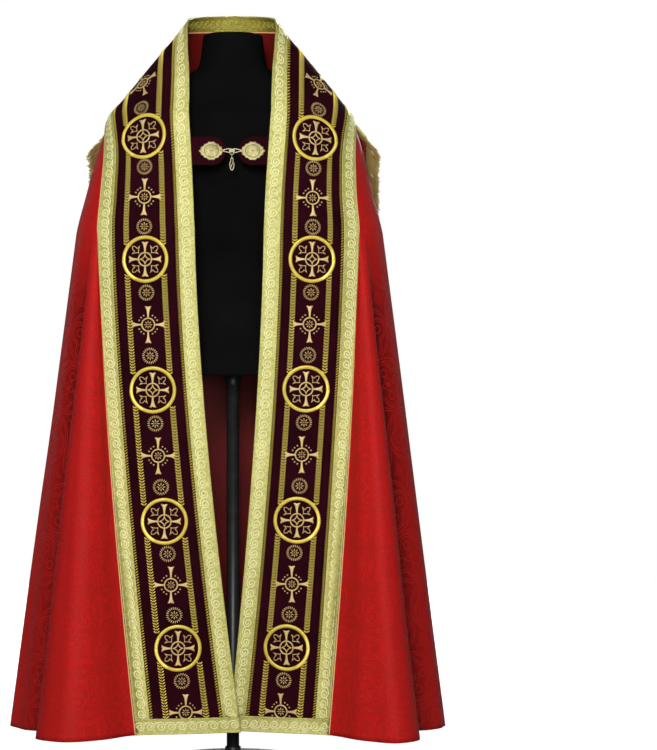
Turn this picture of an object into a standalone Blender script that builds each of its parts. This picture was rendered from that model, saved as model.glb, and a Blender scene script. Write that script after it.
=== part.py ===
"""A cope, the long open cloak of a vestment set, on a limbless dress form.

The cloak is one hanging surface, worked out from a table of smooth sections and, below the
chest, from a row of numbers for each fold. Every cloth piece is a thin wall made from points
of that surface, moved out by its own lift. Units are metres, +Z is up, the open front faces
-Y, and the origin is the middle of the stand's foot on the floor.
"""

import math
from typing import NamedTuple

import bmesh
import bpy
import numpy as np
from mathutils import Matrix

# Heights above the floor.
HEM = 0.085
CHEST = 1.087

# The orphrey band and the ribbons on it.
GALLOON_WIDTH = 0.032
HEM_STRIP = 0.032
SEAM_GAP = 0.0003
CLOTH_WALL = 0.0020
RIBBON_WALL = 0.0010
BAND_LIFT = 0.0016
BAND_TUCK = 0.008
BAND_CREASE = 0.075
APEX_ROW = 4.2
FACING_FIRST_ROW = 4
PIPING_WIDTH = 0.0024
PIPING_WALL = 0.0018
PIPING_LIFT = 0.0017

# How finely the cloth is cut into facets, and what counts as one point.
MERGE = 0.00002
DENSE = 49
OVERRUN = 3
RIBS_PER_FOLD = 2
EDGE_FOLDS = (-0.085, 0.0, 0.035, 0.13)
BODY_ROWS_BELOW_CHEST = 7
BODY_ROWS_ABOVE_CHEST = 5
BAND_ROWS_BELOW_CHEST = 9
BAND_STEPS_PER_ROW = 3

# The hood, a flat shield that hangs from the band at the back. Below CORNER_HEIGHT its outline
# rounds in, as a quarter of a squared ellipse, to the short straight stretch of its bottom edge.
HOOD_HALF_WIDTH = 0.272
HOOD_SHOULDER = 0.032
HOOD_BOTTOM = 0.883
CORNER_HEIGHT = 1.068
CORNER_OUT = 0.038
CORNER_SQUARENESS = 2.2
HOOD_TOP_GAP = 0.0012
OUTER_GALLOON = 0.022
DARK_STRIP = 0.022
INNER_GALLOON = 0.030
TOP_GALLOON = 0.028
FRINGE_SIDE = 0.024
FRINGE_BOTTOM = 0.046
FRINGE_LIFT = -0.0010
FRINGE_WALL = 0.0040
SIDE_STATIONS = 3
CORNER_STATIONS = 6
HOOD_INSETS = (
    0.0,
    OUTER_GALLOON,
    OUTER_GALLOON + DARK_STRIP,
    OUTER_GALLOON + DARK_STRIP + INNER_GALLOON,
)
FIELD_SHARES = (0.36, 0.70, 1.0)
SPINE_FOOT = 0.05
NORMAL_REACH = 0.0005

# The fastening between the two fronts.
CLASP_X = 0.0035
CLASP_Z = 1.2460
TAB_HEIGHT = 0.058
TAB_WALL = 0.0028
TAB_FRONT = -0.1372
TAB_SLOPE = 0.19
TAB_GAP = 0.012
TAB_END = 0.0850
ORNAMENT_LENGTH = 0.052
ORNAMENT_HEIGHT = 0.041
ORNAMENT_WALL = 0.0022
ORNAMENT_INSET = 0.003
TAB_ROUND = 0.027
TAB_END_POINTS = 13
ORNAMENT_POINTS = 48
OVAL_POWER = 1.5
SCALLOPS = 12
SCALLOP_DEPTH = 0.05
WIRE_POINTS = 20
WIRE_ROUNDNESS = 2
WIRE_RADIUS = 0.0009
LOOP_GAP = 0.0005
HOOK_HALF_WIDTH = 0.0035
HOOK_OVERLAP = 0.005
HOOK_UNDER_ORNAMENT = 0.003
RING_RADIUS = 0.0042
RING_DROP = 0.0040
LINK_HALF_HEIGHT = 0.0050
LINK_HALF_WIDTH = 0.0026
CLAW_HALF_HEIGHT = 0.0125
CLAW_HALF_WIDTH = 0.0042

# The dress form and its stand.
FORM_BOTTOM = 0.80
NECK_TOP = 1.490
POLE_RADIUS = 0.016
FOOT_RADIUS = 0.165
FOOT_HEIGHT = 0.018
FOOT_TAPER = 0.004
POLE_FACETS = 24
FOOT_FACETS = 40
TORSO_RIBS = 28


class Section(NamedTuple):
    """One level cut through the cloak with its folds smoothed away."""

    height: float
    left: float
    right: float
    front: float
    back: float
    squareness: float


class Fold(NamedTuple):
    """A line of the cloak that runs from the chest to the hem."""

    name: str
    chest_angle: float
    hem_out: float
    hem_depth: float
    growth: float


class BandRow(NamedTuple):
    """Where a rib of the band starts and ends, as it passes over the shoulder."""

    name: str
    inner_angle: float
    inner_height: float
    outer_angle: float
    outer_height: float


class HoodSection(NamedTuple):
    """One level cut through the hood."""

    height: float
    half_width: float
    back: float


class TorsoRow(NamedTuple):
    """One level cut through the torso."""

    height: float
    half_width: float
    front: float
    back: float


SECTIONS = (
    Section(1.570, 0.066, 0.060, 0.034, 0.078, 2.0),
    Section(1.525, 0.087, 0.083, 0.046, 0.086, 2.0),
    Section(1.444, 0.152, 0.148, 0.087, 0.110, 2.1),
    Section(1.362, 0.218, 0.214, 0.114, 0.132, 2.4),
    Section(1.321, 0.250, 0.243, 0.125, 0.142, 2.6),
    Section(1.240, 0.277, 0.269, 0.141, 0.156, 2.7),
    Section(1.158, 0.300, 0.288, 0.150, 0.164, 2.7),
    Section(1.087, 0.318, 0.306, 0.153, 0.169, 2.7),
    Section(0.750, 0.362, 0.352, 0.200, 0.200, 2.6),
    Section(0.400, 0.402, 0.394, 0.235, 0.230, 2.5),
    Section(0.050, 0.456, 0.440, 0.260, 0.262, 2.4),
)

LEFT_FOLDS = (
    Fold("inner edge", 12.5, -0.018, -0.088, 1.5),
    Fold("band middle", 31.0, 0.086, -0.112, 1.5),
    Fold("band outer edge", 49.2, 0.188, -0.134, 1.5),
    Fold("flute rise", 50.4, 0.250, -0.196, 1.1),
    Fold("flute crest", 51.6, 0.322, -0.226, 1.05),
    Fold("flute side", 52.8, 0.382, -0.176, 1.0),
    Fold("flute valley", 54.5, 0.362, -0.092, 1.0),
    Fold("lobe front", 63.0, 0.418, -0.058, 1.0),
    Fold("lobe crest", 84.0, 0.452, 0.004, 1.0),
    Fold("lobe back", 97.0, 0.424, 0.056, 1.0),
    Fold("side valley", 105.0, 0.372, 0.068, 1.1),
    Fold("back flute", 116.0, 0.386, 0.142, 1.1),
    Fold("back flute inside", 126.0, 0.316, 0.166, 1.1),
    Fold("back valley", 134.0, 0.258, 0.118, 1.1),
    Fold("back panel edge", 142.0, 0.262, 0.204, 1.1),
    Fold("back panel", 160.0, 0.150, 0.250, 1.1),
    Fold("centre back", 180.0, 0.000, 0.256, 1.1),
)

RIGHT_FOLDS = (
    Fold("inner edge", 12.5, -0.004, -0.062, 1.5),
    Fold("band middle", 31.0, 0.098, -0.096, 1.5),
    Fold("band outer edge", 49.2, 0.196, -0.132, 1.5),
    Fold("flute rise", 50.6, 0.262, -0.206, 1.1),
    Fold("flute crest", 52.0, 0.330, -0.240, 1.05),
    Fold("flute side", 53.4, 0.374, -0.182, 1.0),
    Fold("flute valley", 55.6, 0.352, -0.088, 1.0),
    Fold("lobe front", 66.0, 0.402, -0.056, 1.0),
    Fold("lobe crest", 86.0, 0.436, 0.002, 1.0),
    Fold("lobe back", 99.0, 0.410, 0.052, 1.0),
    Fold("side valley", 107.0, 0.362, 0.066, 1.1),
    Fold("back flute", 118.0, 0.374, 0.136, 1.1),
    Fold("back flute inside", 128.0, 0.310, 0.162, 1.1),
    Fold("back valley", 136.0, 0.252, 0.114, 1.1),
    Fold("back panel edge", 144.0, 0.258, 0.200, 1.1),
    Fold("back panel", 161.0, 0.146, 0.248, 1.1),
    Fold("centre back", 180.0, 0.000, 0.256, 1.1),
)
BAND_EDGE_FOLD = 2

BAND_ROWS = (
    BandRow("chest", 12.5, 1.087, 49.2, 1.087),
    BandRow("breast", 14.0, 1.165, 52.5, 1.165),
    BandRow("collarbone", 16.0, 1.245, 57.5, 1.238),
    BandRow("below the shoulder", 19.0, 1.325, 66.0, 1.284),
    BandRow("shoulder front", 27.0, 1.408, 78.0, 1.310),
    BandRow("shoulder", 46.0, 1.478, 93.0, 1.322),
    BandRow("neck side", 80.0, 1.519, 113.0, 1.329),
    BandRow("neck back", 116.0, 1.534, 137.0, 1.333),
    BandRow("nape side", 150.0, 1.542, 160.0, 1.336),
    BandRow("nape", 180.0, 1.545, 180.0, 1.337),
)

# Level cuts through the hood where it hangs over the back: it stands off the cloak.
HOOD_SECTIONS = (
    HoodSection(1.345, 0.262, 0.1412),
    HoodSection(1.320, 0.277, 0.1472),
    HoodSection(1.280, 0.298, 0.1600),
    HoodSection(1.200, 0.312, 0.1740),
    HoodSection(1.087, 0.330, 0.1850),
    HoodSection(0.980, 0.342, 0.1960),
    HoodSection(0.830, 0.352, 0.2140),
)
HOOD_SQUARENESS = 2.5

# The torso from its closed lower end to the top of the neck.
TORSO_ROWS = (
    TorsoRow(FORM_BOTTOM, 0.150, 0.098, 0.110),
    TorsoRow(0.900, 0.152, 0.096, 0.108),
    TorsoRow(1.000, 0.136, 0.088, 0.096),
    TorsoRow(1.100, 0.148, 0.098, 0.100),
    TorsoRow(1.200, 0.178, 0.106, 0.110),
    TorsoRow(1.290, 0.208, 0.094, 0.108),
    TorsoRow(1.330, 0.2235, 0.080, 0.098),
    TorsoRow(1.352, 0.2215, 0.068, 0.088),
    TorsoRow(1.374, 0.1975, 0.060, 0.080),
    TorsoRow(1.394, 0.150, 0.058, 0.074),
    TorsoRow(1.412, 0.094, 0.058, 0.068),
    TorsoRow(1.430, 0.070, 0.058, 0.064),
    TorsoRow(1.470, 0.063, 0.056, 0.062),
    TorsoRow(1.484, 0.060, 0.053, 0.059),
    TorsoRow(NECK_TOP, 0.052, 0.046, 0.052),
)
def steady_curve(x, xs, ys):
    """Values at x of a smooth curve through (xs, ys) that never overshoots its points."""
    xs = np.asarray(xs, float)
    ys = np.asarray(ys, float)
    if xs[0] > xs[-1]:
        xs = xs[::-1]
        ys = ys[::-1]
    step = np.diff(xs)
    slope = np.diff(ys) / step
    same_way = slope[:-1] * slope[1:] > 0
    inner = np.zeros(len(slope) - 1)
    inner[same_way] = 2 * slope[:-1][same_way] * slope[1:][same_way]
    inner[same_way] /= slope[:-1][same_way] + slope[1:][same_way]
    tangent = np.concatenate([[slope[0]], inner, [slope[-1]]])
    x = np.clip(np.asarray(x, float), xs[0], xs[-1])
    k = np.clip(np.searchsorted(xs, x, side="right") - 1, 0, len(step) - 1)
    t = (x - xs[k]) / step[k]
    rise = ys[k + 1] - ys[k]
    start = tangent[k] * step[k]
    end = tangent[k + 1] * step[k]
    return ys[k] + start * t + (3 * rise - 2 * start - end) * t**2 + (start + end - 2 * rise) * t**3


def round_curve(u, ys):
    """Values at u of a rounded curve through ys, one for each whole number from 0."""
    ys = np.asarray(ys, float)
    padded = np.concatenate([[2 * ys[0] - ys[1]], ys, [2 * ys[-1] - ys[-2]]])
    u = np.clip(np.asarray(u, float), 0, len(ys) - 1)
    k = np.clip(np.floor(u).astype(int), 0, len(ys) - 2)
    t = u - k
    a, b, c, d = padded[k], padded[k + 1], padded[k + 2], padded[k + 3]
    return b + 0.5 * t * (c - a + t * (2 * a - 5 * b + 4 * c - d + t * (3 * (b - c) + d - a)))


def column(rows, name):
    return [getattr(row, name) for row in rows]


def section_size(height, name):
    return steady_curve(height, column(SECTIONS, "height"), column(SECTIONS, name))


def envelope(side, angle, height):
    """Points of the smooth cloak; the angle goes round from centre front, 0, to back, 180."""
    angle, height = np.broadcast_arrays(np.radians(angle), np.asarray(height, float))
    power = section_size(height, "squareness")
    sine = np.abs(np.sin(angle))
    cosine = np.cos(angle)
    reach = (sine**power + np.abs(cosine) ** power) ** (-1 / power)
    out = section_size(height, "left" if side < 0 else "right")
    depth = np.where(cosine > 0, section_size(height, "front"), section_size(height, "back"))
    return np.stack([side * out * reach * sine, -depth * reach * cosine, height], axis=-1)


def folds_of(side):
    return LEFT_FOLDS if side < 0 else RIGHT_FOLDS


def chest_angle(side, fold):
    angles = column(folds_of(side), "chest_angle")
    return steady_curve(fold, range(len(angles)), angles)


def band_row(k):
    """Inner angle, inner height, outer angle and outer height at row number k of the band."""
    names = ("inner_angle", "inner_height", "outer_angle", "outer_height")
    return [steady_curve(k, range(len(BAND_ROWS)), column(BAND_ROWS, name)) for name in names]


def outer_angle(height):
    """Angle of the band's outer edge at a height between the chest and the shoulder."""
    k = np.linspace(0, APEX_ROW, 80)
    return np.interp(height, band_row(k)[3], band_row(k)[2])


def outer_height(angle):
    """Height of the band's outer edge at an angle between the shoulder and the back."""
    k = np.linspace(APEX_ROW, len(BAND_ROWS) - 1, 80)
    return np.interp(angle, band_row(k)[2], band_row(k)[3])


def hanging(side, fold, height):
    """Points of the folded cloak; fold counts the rows of the side's table."""
    fold, height = np.broadcast_arrays(np.asarray(fold, float), np.asarray(height, float))
    rows = folds_of(side)
    edge = outer_angle(np.maximum(height, CHEST))
    edge_at_chest = rows[BAND_EDGE_FOLD].chest_angle
    back_share = (chest_angle(side, fold) - edge_at_chest) / (180 - edge_at_chest)
    angle = edge + (180 - edge) * back_share
    level = envelope(side, angle, np.maximum(height, CHEST))
    drop = np.clip((CHEST - height) / (CHEST - HEM), 0, 1)
    share = drop ** round_curve(fold, column(rows, "growth"))
    hem_x = side * round_curve(fold, column(rows, "hem_out"))
    hem_y = round_curve(fold, column(rows, "hem_depth"))
    x = level[..., 0] + (hem_x - level[..., 0]) * share
    y = level[..., 1] + (hem_y - level[..., 1]) * share
    return np.stack([x, y, height], axis=-1)


def body_columns(side):
    """Points of one half of the body: rows from under the band down, columns front to back."""
    last = len(folds_of(side)) - 1
    even = np.linspace(BAND_EDGE_FOLD, last, (last - BAND_EDGE_FOLD) * RIBS_PER_FOLD + 1)
    fold = np.concatenate([BAND_EDGE_FOLD + np.array(EDGE_FOLDS), even[1:]])
    edge = outer_angle(CHEST)
    share = np.clip((chest_angle(side, fold) - edge) / (180 - edge), 0, 1)
    apex_angle = band_row(APEX_ROW)[2]
    start_angle = apex_angle + (180 - apex_angle) * share
    top = outer_height(start_angle) + BAND_TUCK
    above = np.linspace(0, 1, BODY_ROWS_ABOVE_CHEST + 1)[:-1, None]
    below = np.linspace(0, 1, BODY_ROWS_BELOW_CHEST + 1)[:, None] + 0 * top
    heights = np.concatenate([top + (CHEST - top) * above, CHEST + (HEM - CHEST) * below])
    return hanging(side, fold[None, :], heights)


def band_ribs(side):
    """Dense points across the band: ribs from the hem up and round to the centre back.

    Each rib runs on past the band's outer edge, which is its point number DENSE - 1.
    """
    across = np.linspace(0, 1 + OVERRUN / (DENSE - 1), DENSE + OVERRUN)
    heights = HEM + (CHEST - HEM) * np.linspace(0, 1, BAND_ROWS_BELOW_CHEST + 1)[:-1]
    heights = np.concatenate([[HEM, HEM + HEM_STRIP], heights[1:]])
    ribs = [band_rib_below(side, height, across) for height in heights]
    last = len(BAND_ROWS) - 1
    for k in np.linspace(0, last, last * BAND_STEPS_PER_ROW + 1):
        start_angle, start_height, end_angle, end_height = band_row(k)
        angle = start_angle + (end_angle - start_angle) * across
        height = start_height + (end_height - start_height) * across
        ribs.append(envelope(side, angle, height))
    return np.array(ribs)


def band_rib_below(side, height, across):
    """One level rib of the band between the hem and the chest."""
    return hanging(side, across * BAND_EDGE_FOLD, height + 0 * across)


def outward(points, side):
    """Unit normals of a grid of points, pointing away from the wearer."""
    along = np.gradient(points, axis=0)
    across = np.gradient(points, axis=1)
    normal = np.cross(across, along)
    normal /= np.linalg.norm(normal, axis=-1, keepdims=True)
    return normal * side


def place_across(ribs, normals, starts, ends):
    """Points and normals at distances from the band's two edges.

    starts are measured in from the inner edge; ends, from the outer edge, follow them.
    """
    points = []
    lifts = []
    for rib, normal in zip(ribs, normals):
        run = np.concatenate([[0], np.cumsum(np.linalg.norm(np.diff(rib, axis=0), axis=1))])
        where = np.concatenate([starts, run[DENSE - 1] - np.asarray(ends, float)])
        points.append(np.stack([np.interp(where, run, rib[:, i]) for i in range(3)], axis=-1))
        lifts.append(np.stack([np.interp(where, run, normal[:, i]) for i in range(3)], axis=-1))
    lifts = np.array(lifts)
    return np.array(points), lifts / np.linalg.norm(lifts, axis=-1, keepdims=True)


def material(name, colour, roughness=0.8, metallic=0.0):
    """A plain Principled BSDF finish."""
    made = bpy.data.materials.get(name)
    if made is None:
        made = bpy.data.materials.new(name)
        made.use_nodes = True
        shader = made.node_tree.nodes["Principled BSDF"]
        shader.inputs["Base Color"].default_value = (*colour, 1)
        shader.inputs["Roughness"].default_value = roughness
        shader.inputs["Metallic"].default_value = metallic
    return made


def add_object(name, bm, finish):
    """Closes a bmesh into an object of that name."""
    bmesh.ops.recalc_face_normals(bm, faces=bm.faces)
    mesh = bpy.data.meshes.new(name)
    bm.to_mesh(mesh)
    bm.free()
    mesh.materials.append(finish)
    made = bpy.data.objects.new(name, mesh)
    bpy.context.scene.collection.objects.link(made)
    return made


def wall(name, points, normals, inner_lift, outer_lift, finish):
    """A closed wall on a grid of points, between two lifts along the normals."""
    rows, columns = points.shape[:2]
    bm = bmesh.new()
    bmesh.ops.create_grid(bm, x_segments=columns - 1, y_segments=rows - 1, size=1.0)
    bm.verts.ensure_lookup_table()
    low = (points + normals * inner_lift).reshape(-1, 3)
    high = (points + normals * outer_lift).reshape(-1, 3)
    for vert, place in zip(bm.verts, low):
        vert.co = place
    inner_verts = list(bm.verts)
    twin = bmesh.ops.duplicate(bm, geom=list(bm.faces))["vert_map"]
    for vert, place in zip(inner_verts, high):
        twin[vert].co = place
    bmesh.ops.remove_doubles(bm, verts=bm.verts, dist=MERGE)
    rim = [edge for edge in bm.edges if edge.is_boundary]
    bmesh.ops.bridge_loops(bm, edges=rim)
    bmesh.ops.triangulate(bm, faces=bm.faces, quad_method="SHORT_EDGE")
    return add_object(name, bm, finish)


def clear_scene():
    for old in list(bpy.data.objects):
        bpy.data.objects.remove(old, do_unlink=True)


RED = ("red damask", (0.52, 0.025, 0.02), 0.55)
VELVET = ("dark velvet", (0.045, 0.004, 0.018), 0.9)
GOLD = ("gold ribbon", (0.62, 0.52, 0.18), 0.5)
LINING = ("dark red lining", (0.25, 0.01, 0.012), 0.6)
PIPING = ("peach piping", (0.78, 0.42, 0.16), 0.7)
FRINGE = ("antique gold fringe", (0.36, 0.26, 0.07), 0.7)
METAL = ("gilt metal", (0.75, 0.58, 0.22), 0.3, 1.0)
FORM = ("black form cover", (0.012, 0.012, 0.013), 0.8)
STAND = ("black painted stand", (0.015, 0.015, 0.016), 0.45)


def build_body():
    """The red cloak in one piece, from the left band round the back to the right band."""
    left = body_columns(-1)
    right = body_columns(1)
    points = np.concatenate([left, right[:, -2::-1]], axis=1)
    wall("body", points, outward(points, 1), -CLOTH_WALL, 0.0, material(*RED))


def build_band(side, word):
    """One half of the band with its ribbons, piping and inner facing."""
    ribs = band_ribs(side)
    normals = outward(ribs, side)
    top = BAND_LIFT + CLOTH_WALL
    ribbon = (top + SEAM_GAP, top + SEAM_GAP + RIBBON_WALL)
    half_seam = SEAM_GAP / 2
    ribs[-1, :, 0] = side * half_seam
    edge = GALLOON_WIDTH
    points, lifts = place_across(ribs, normals, [0, edge, BAND_CREASE], [BAND_CREASE, edge, 0])
    wall(f"orphrey_{word}", points, lifts, BAND_LIFT, top, material(*VELVET))
    gold = material(*GOLD)
    rows = slice(1, None)
    strips = {"inner": ([0, edge], []), "outer": ([], [edge, 0])}
    for name, (starts, ends) in strips.items():
        points, lifts = place_across(ribs[rows], normals[rows], starts, ends)
        wall(f"galloon_{name}_{word}", points, lifts, *ribbon, gold)
    points, lifts = place_across(ribs[:2], normals[:2], [0, edge, BAND_CREASE], [BAND_CREASE, edge, 0])
    points[1, :, 2] -= SEAM_GAP
    wall(f"galloon_hem_{word}", points, lifts, *ribbon, gold)
    start = -2 * SEAM_GAP
    edge_lifts = place_across(ribs, normals, [], [0, 0])[1]
    points, lifts = place_across(ribs, normals, [], [start, start - PIPING_WIDTH])
    lifts = (lifts + edge_lifts) / 2
    wall(f"piping_{word}", points, lifts, PIPING_LIFT, PIPING_LIFT + PIPING_WALL, material(*PIPING))
    return ribs, normals


def build_centre_strip(bands):
    """The ribbon that covers the centre-back join, between the inner and outer ribbons."""
    columns = []
    for side, word in ((-1, "left"), (1, "right")):
        ribs, normals = bands[word]
        pick = [-2, -1] if side < 0 else [-2]
        columns.append((ribs[pick], normals[pick]))
    ribs = np.concatenate([columns[0][0], columns[1][0][::-1]])
    normals = np.concatenate([columns[0][1], columns[1][1][::-1]])
    edge = GALLOON_WIDTH + SEAM_GAP
    points, lifts = place_across(ribs, normals, [edge, BAND_CREASE], [BAND_CREASE, edge])
    centre = points[1, :, 0].copy()
    reach = GALLOON_WIDTH / 2
    for row, side in ((0, -1), (2, 1)):
        share = (reach / np.abs(points[row, :, 0] - centre))[:, None]
        points[row] = points[1] + (points[row] - points[1]) * share
    top = BAND_LIFT + CLOTH_WALL + SEAM_GAP
    wall("galloon_centre_back", points, lifts, top, top + RIBBON_WALL, material(*GOLD))


def build_neck_inside(bands):
    """The ribbon and the lining on the inner side of the standing neck edge."""
    left_ribs, left_normals = bands["left"]
    right_ribs, right_normals = bands["right"]
    first = 1 + BAND_ROWS_BELOW_CHEST + FACING_FIRST_ROW * BAND_STEPS_PER_ROW
    ribs = np.concatenate([left_ribs[first:], right_ribs[first:-1][::-1]])
    normals = np.concatenate([left_normals[first:], right_normals[first:-1][::-1]])
    outer_lift = BAND_LIFT - SEAM_GAP
    inner_lift = outer_lift - RIBBON_WALL
    edge = GALLOON_WIDTH
    points, lifts = place_across(ribs, normals, [0, edge], [])
    wall("collar_facing", points, lifts, inner_lift, outer_lift, material(*GOLD))
    start = edge + SEAM_GAP
    points, lifts = place_across(ribs, normals, [start, BAND_CREASE], [BAND_CREASE, edge])
    wall("neck_lining", points, lifts, inner_lift, outer_lift, material(*LINING))


def hood_point(x, height):
    """Points of the hood's inner face at a distance x from the middle of the back."""
    heights = column(HOOD_SECTIONS, "height")
    half_width = steady_curve(height, heights, column(HOOD_SECTIONS, "half_width"))
    back = steady_curve(height, heights, column(HOOD_SECTIONS, "back"))
    ratio = np.abs(x) / half_width
    depth = (1 - ratio**HOOD_SQUARENESS) ** (1 / HOOD_SQUARENESS)
    return np.stack([x, back * depth, height], axis=-1)


def hood_top(x):
    """Height of the hood's top edge, which follows the band's outer edge."""
    k = np.linspace(APEX_ROW, len(BAND_ROWS) - 1, 80)
    edge = envelope(1, band_row(k)[2], band_row(k)[3])
    return np.interp(np.abs(x), edge[::-1, 0], edge[::-1, 2]) - HOOD_TOP_GAP


def hood_outline(inset_side, inset_bottom):
    """(x, height) of one side of the hood, from its top corner down and in to the middle."""
    side = HOOD_HALF_WIDTH - inset_side
    top_corner = np.array([side - HOOD_SHOULDER, side - HOOD_SHOULDER / 4])
    top = hood_top(top_corner[0])
    straight = np.linspace(top - TOP_GALLOON, CORNER_HEIGHT, SIDE_STATIONS + 1)
    turn = np.radians(np.linspace(0, 90, CORNER_STATIONS + 1))[1:]
    reach = np.cos(turn) ** CORNER_SQUARENESS + np.sin(turn) ** CORNER_SQUARENESS
    reach **= -1 / CORNER_SQUARENESS
    corner_x = CORNER_OUT + (side - CORNER_OUT) * reach * np.cos(turn)
    corner_drop = (CORNER_HEIGHT - HOOD_BOTTOM - inset_bottom) * reach * np.sin(turn)
    x = np.concatenate([top_corner, np.full(SIDE_STATIONS, side), corner_x, [0.0]])
    corner_height = CORNER_HEIGHT - corner_drop
    heights = np.concatenate([[top], straight, corner_height, corner_height[-1:]])
    return x, heights


def hood_half():
    """Outline and field lines of the right half of the hood: (x, heights) of each column."""
    columns = [hood_outline(inset, inset) for inset in HOOD_INSETS]
    edge_x, edge_height = columns[-1]
    top = hood_top(np.array(0.0))
    spine = np.linspace(top - TOP_GALLOON, edge_height[-1] + SPINE_FOOT, len(edge_x) - 1)
    spine = np.concatenate([[top], spine])
    for share in FIELD_SHARES:
        x = edge_x * (1 - share)
        height = edge_height + (spine - edge_height) * share
        height[0] = hood_top(x[:1])[0]
        height[1] = height[0] - TOP_GALLOON
        columns.append((x, height))
    return np.stack([np.stack(column_points, axis=-1) for column_points in columns], axis=1)


def hood_layer(flat):
    """Points of the hood at a grid of (x, height), with the normals there."""
    x, height = flat[..., 0], flat[..., 1]
    across = hood_point(x + NORMAL_REACH, height) - hood_point(x - NORMAL_REACH, height)
    up = hood_point(x, height + NORMAL_REACH) - hood_point(x, height - NORMAL_REACH)
    normal = np.cross(up, across)
    return hood_point(x, height), normal / np.linalg.norm(normal, axis=-1, keepdims=True)


def round_outline(half):
    """A grid down the right side of the hood, carried on round its left side."""
    return np.concatenate([half, (half * (-1, 1))[-2::-1]])


def build_hood():
    """The velvet shield of the hood, with its ribbons and fringe."""
    half = hood_half()
    wall("hood", *hood_layer(round_outline(half)), 0.0, CLOTH_WALL, material(*VELVET))
    low = CLOTH_WALL + SEAM_GAP
    ribbon = (low, low + RIBBON_WALL)
    gold = material(*GOLD)
    head = half[:2, 2:]
    head = np.concatenate([head * (-1, 1), head[:, -2::-1]], axis=1)
    wall("hood_galloon_top", *hood_layer(head), *ribbon, gold)
    edge = half[:, :2]
    wall("hood_galloon_outer", *hood_layer(round_outline(edge)), *ribbon, gold)
    strip = half[1:, 2:4].copy()
    strip[0, :, 1] -= SEAM_GAP
    wall("hood_galloon_inner", *hood_layer(round_outline(strip)), *ribbon, gold)
    inner = np.stack(hood_outline(-SEAM_GAP, -SEAM_GAP), axis=-1)
    outer = np.stack(hood_outline(-FRINGE_SIDE, -FRINGE_BOTTOM), axis=-1)
    fringe = round_outline(np.stack([inner, outer], axis=1)[1:])
    high = FRINGE_LIFT + FRINGE_WALL
    wall("hood_fringe", *hood_layer(fringe), FRINGE_LIFT, high, material(*FRINGE))


def wire_loop(name, centre, half_height, half_width, plane):
    """A closed oval of wire, upright, lying across X or, turned, across Y."""
    curve = bpy.data.curves.new(name, "CURVE")
    curve.dimensions = "3D"
    curve.bevel_depth = WIRE_RADIUS
    curve.bevel_resolution = WIRE_ROUNDNESS
    spline = curve.splines.new("POLY")
    spline.points.add(WIRE_POINTS - 1)
    for k, point in enumerate(spline.points):
        turn = 2 * math.pi * k / WIRE_POINTS
        wide = half_width * math.cos(turn)
        place = (wide, 0.0) if plane == "XZ" else (0.0, wide)
        height = centre[2] + half_height * math.sin(turn)
        point.co = (centre[0] + place[0], centre[1] + place[1], height, 1.0)
    spline.use_cyclic_u = True
    curve.materials.append(material(*METAL))
    made = bpy.data.objects.new(name, curve)
    bpy.context.scene.collection.objects.link(made)
    return made


def plate(name, outline, back, front, finish):
    """A flat plate: an (x, z) outline between two depths, leaning back as the chest does."""
    bm = bmesh.new()
    ring = [bm.verts.new((x, back + TAB_SLOPE * (z - CLASP_Z), z)) for x, z in outline]
    face = bm.faces.new(ring)
    grown = bmesh.ops.extrude_face_region(bm, geom=[face], use_keep_orig=True)
    for item in grown["geom"]:
        if isinstance(item, bmesh.types.BMVert):
            item.co.y += front - back
    return add_object(name, bm, finish)


def tab_outline(side):
    """A strap with a rounded end towards the middle."""
    tip = CLASP_X + side * TAB_GAP
    half = TAB_HEIGHT / 2
    points = [(side * TAB_END, CLASP_Z - half), (side * TAB_END, CLASP_Z + half)]
    for turn in np.radians(np.linspace(90, -90, TAB_END_POINTS)):
        along = TAB_ROUND * math.cos(turn)
        points.append((tip + side * (TAB_ROUND - along), CLASP_Z + half * math.sin(turn)))
    return points


def ornament_outline(side):
    """A pointed oval with a scalloped edge."""
    middle = CLASP_X + side * (TAB_GAP + ORNAMENT_INSET + ORNAMENT_LENGTH / 2)
    points = []
    for k in range(ORNAMENT_POINTS):
        turn = 2 * math.pi * k / ORNAMENT_POINTS
        scallop = 1 - SCALLOP_DEPTH * (1 + math.cos(SCALLOPS * turn)) / 2
        oval = abs(math.cos(turn)) ** OVAL_POWER + abs(math.sin(turn)) ** OVAL_POWER
        reach = scallop / oval ** (1 / OVAL_POWER)
        x = middle + ORNAMENT_LENGTH / 2 * reach * math.cos(turn)
        points.append((x, CLASP_Z + ORNAMENT_HEIGHT / 2 * reach * math.sin(turn)))
    return points


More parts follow.
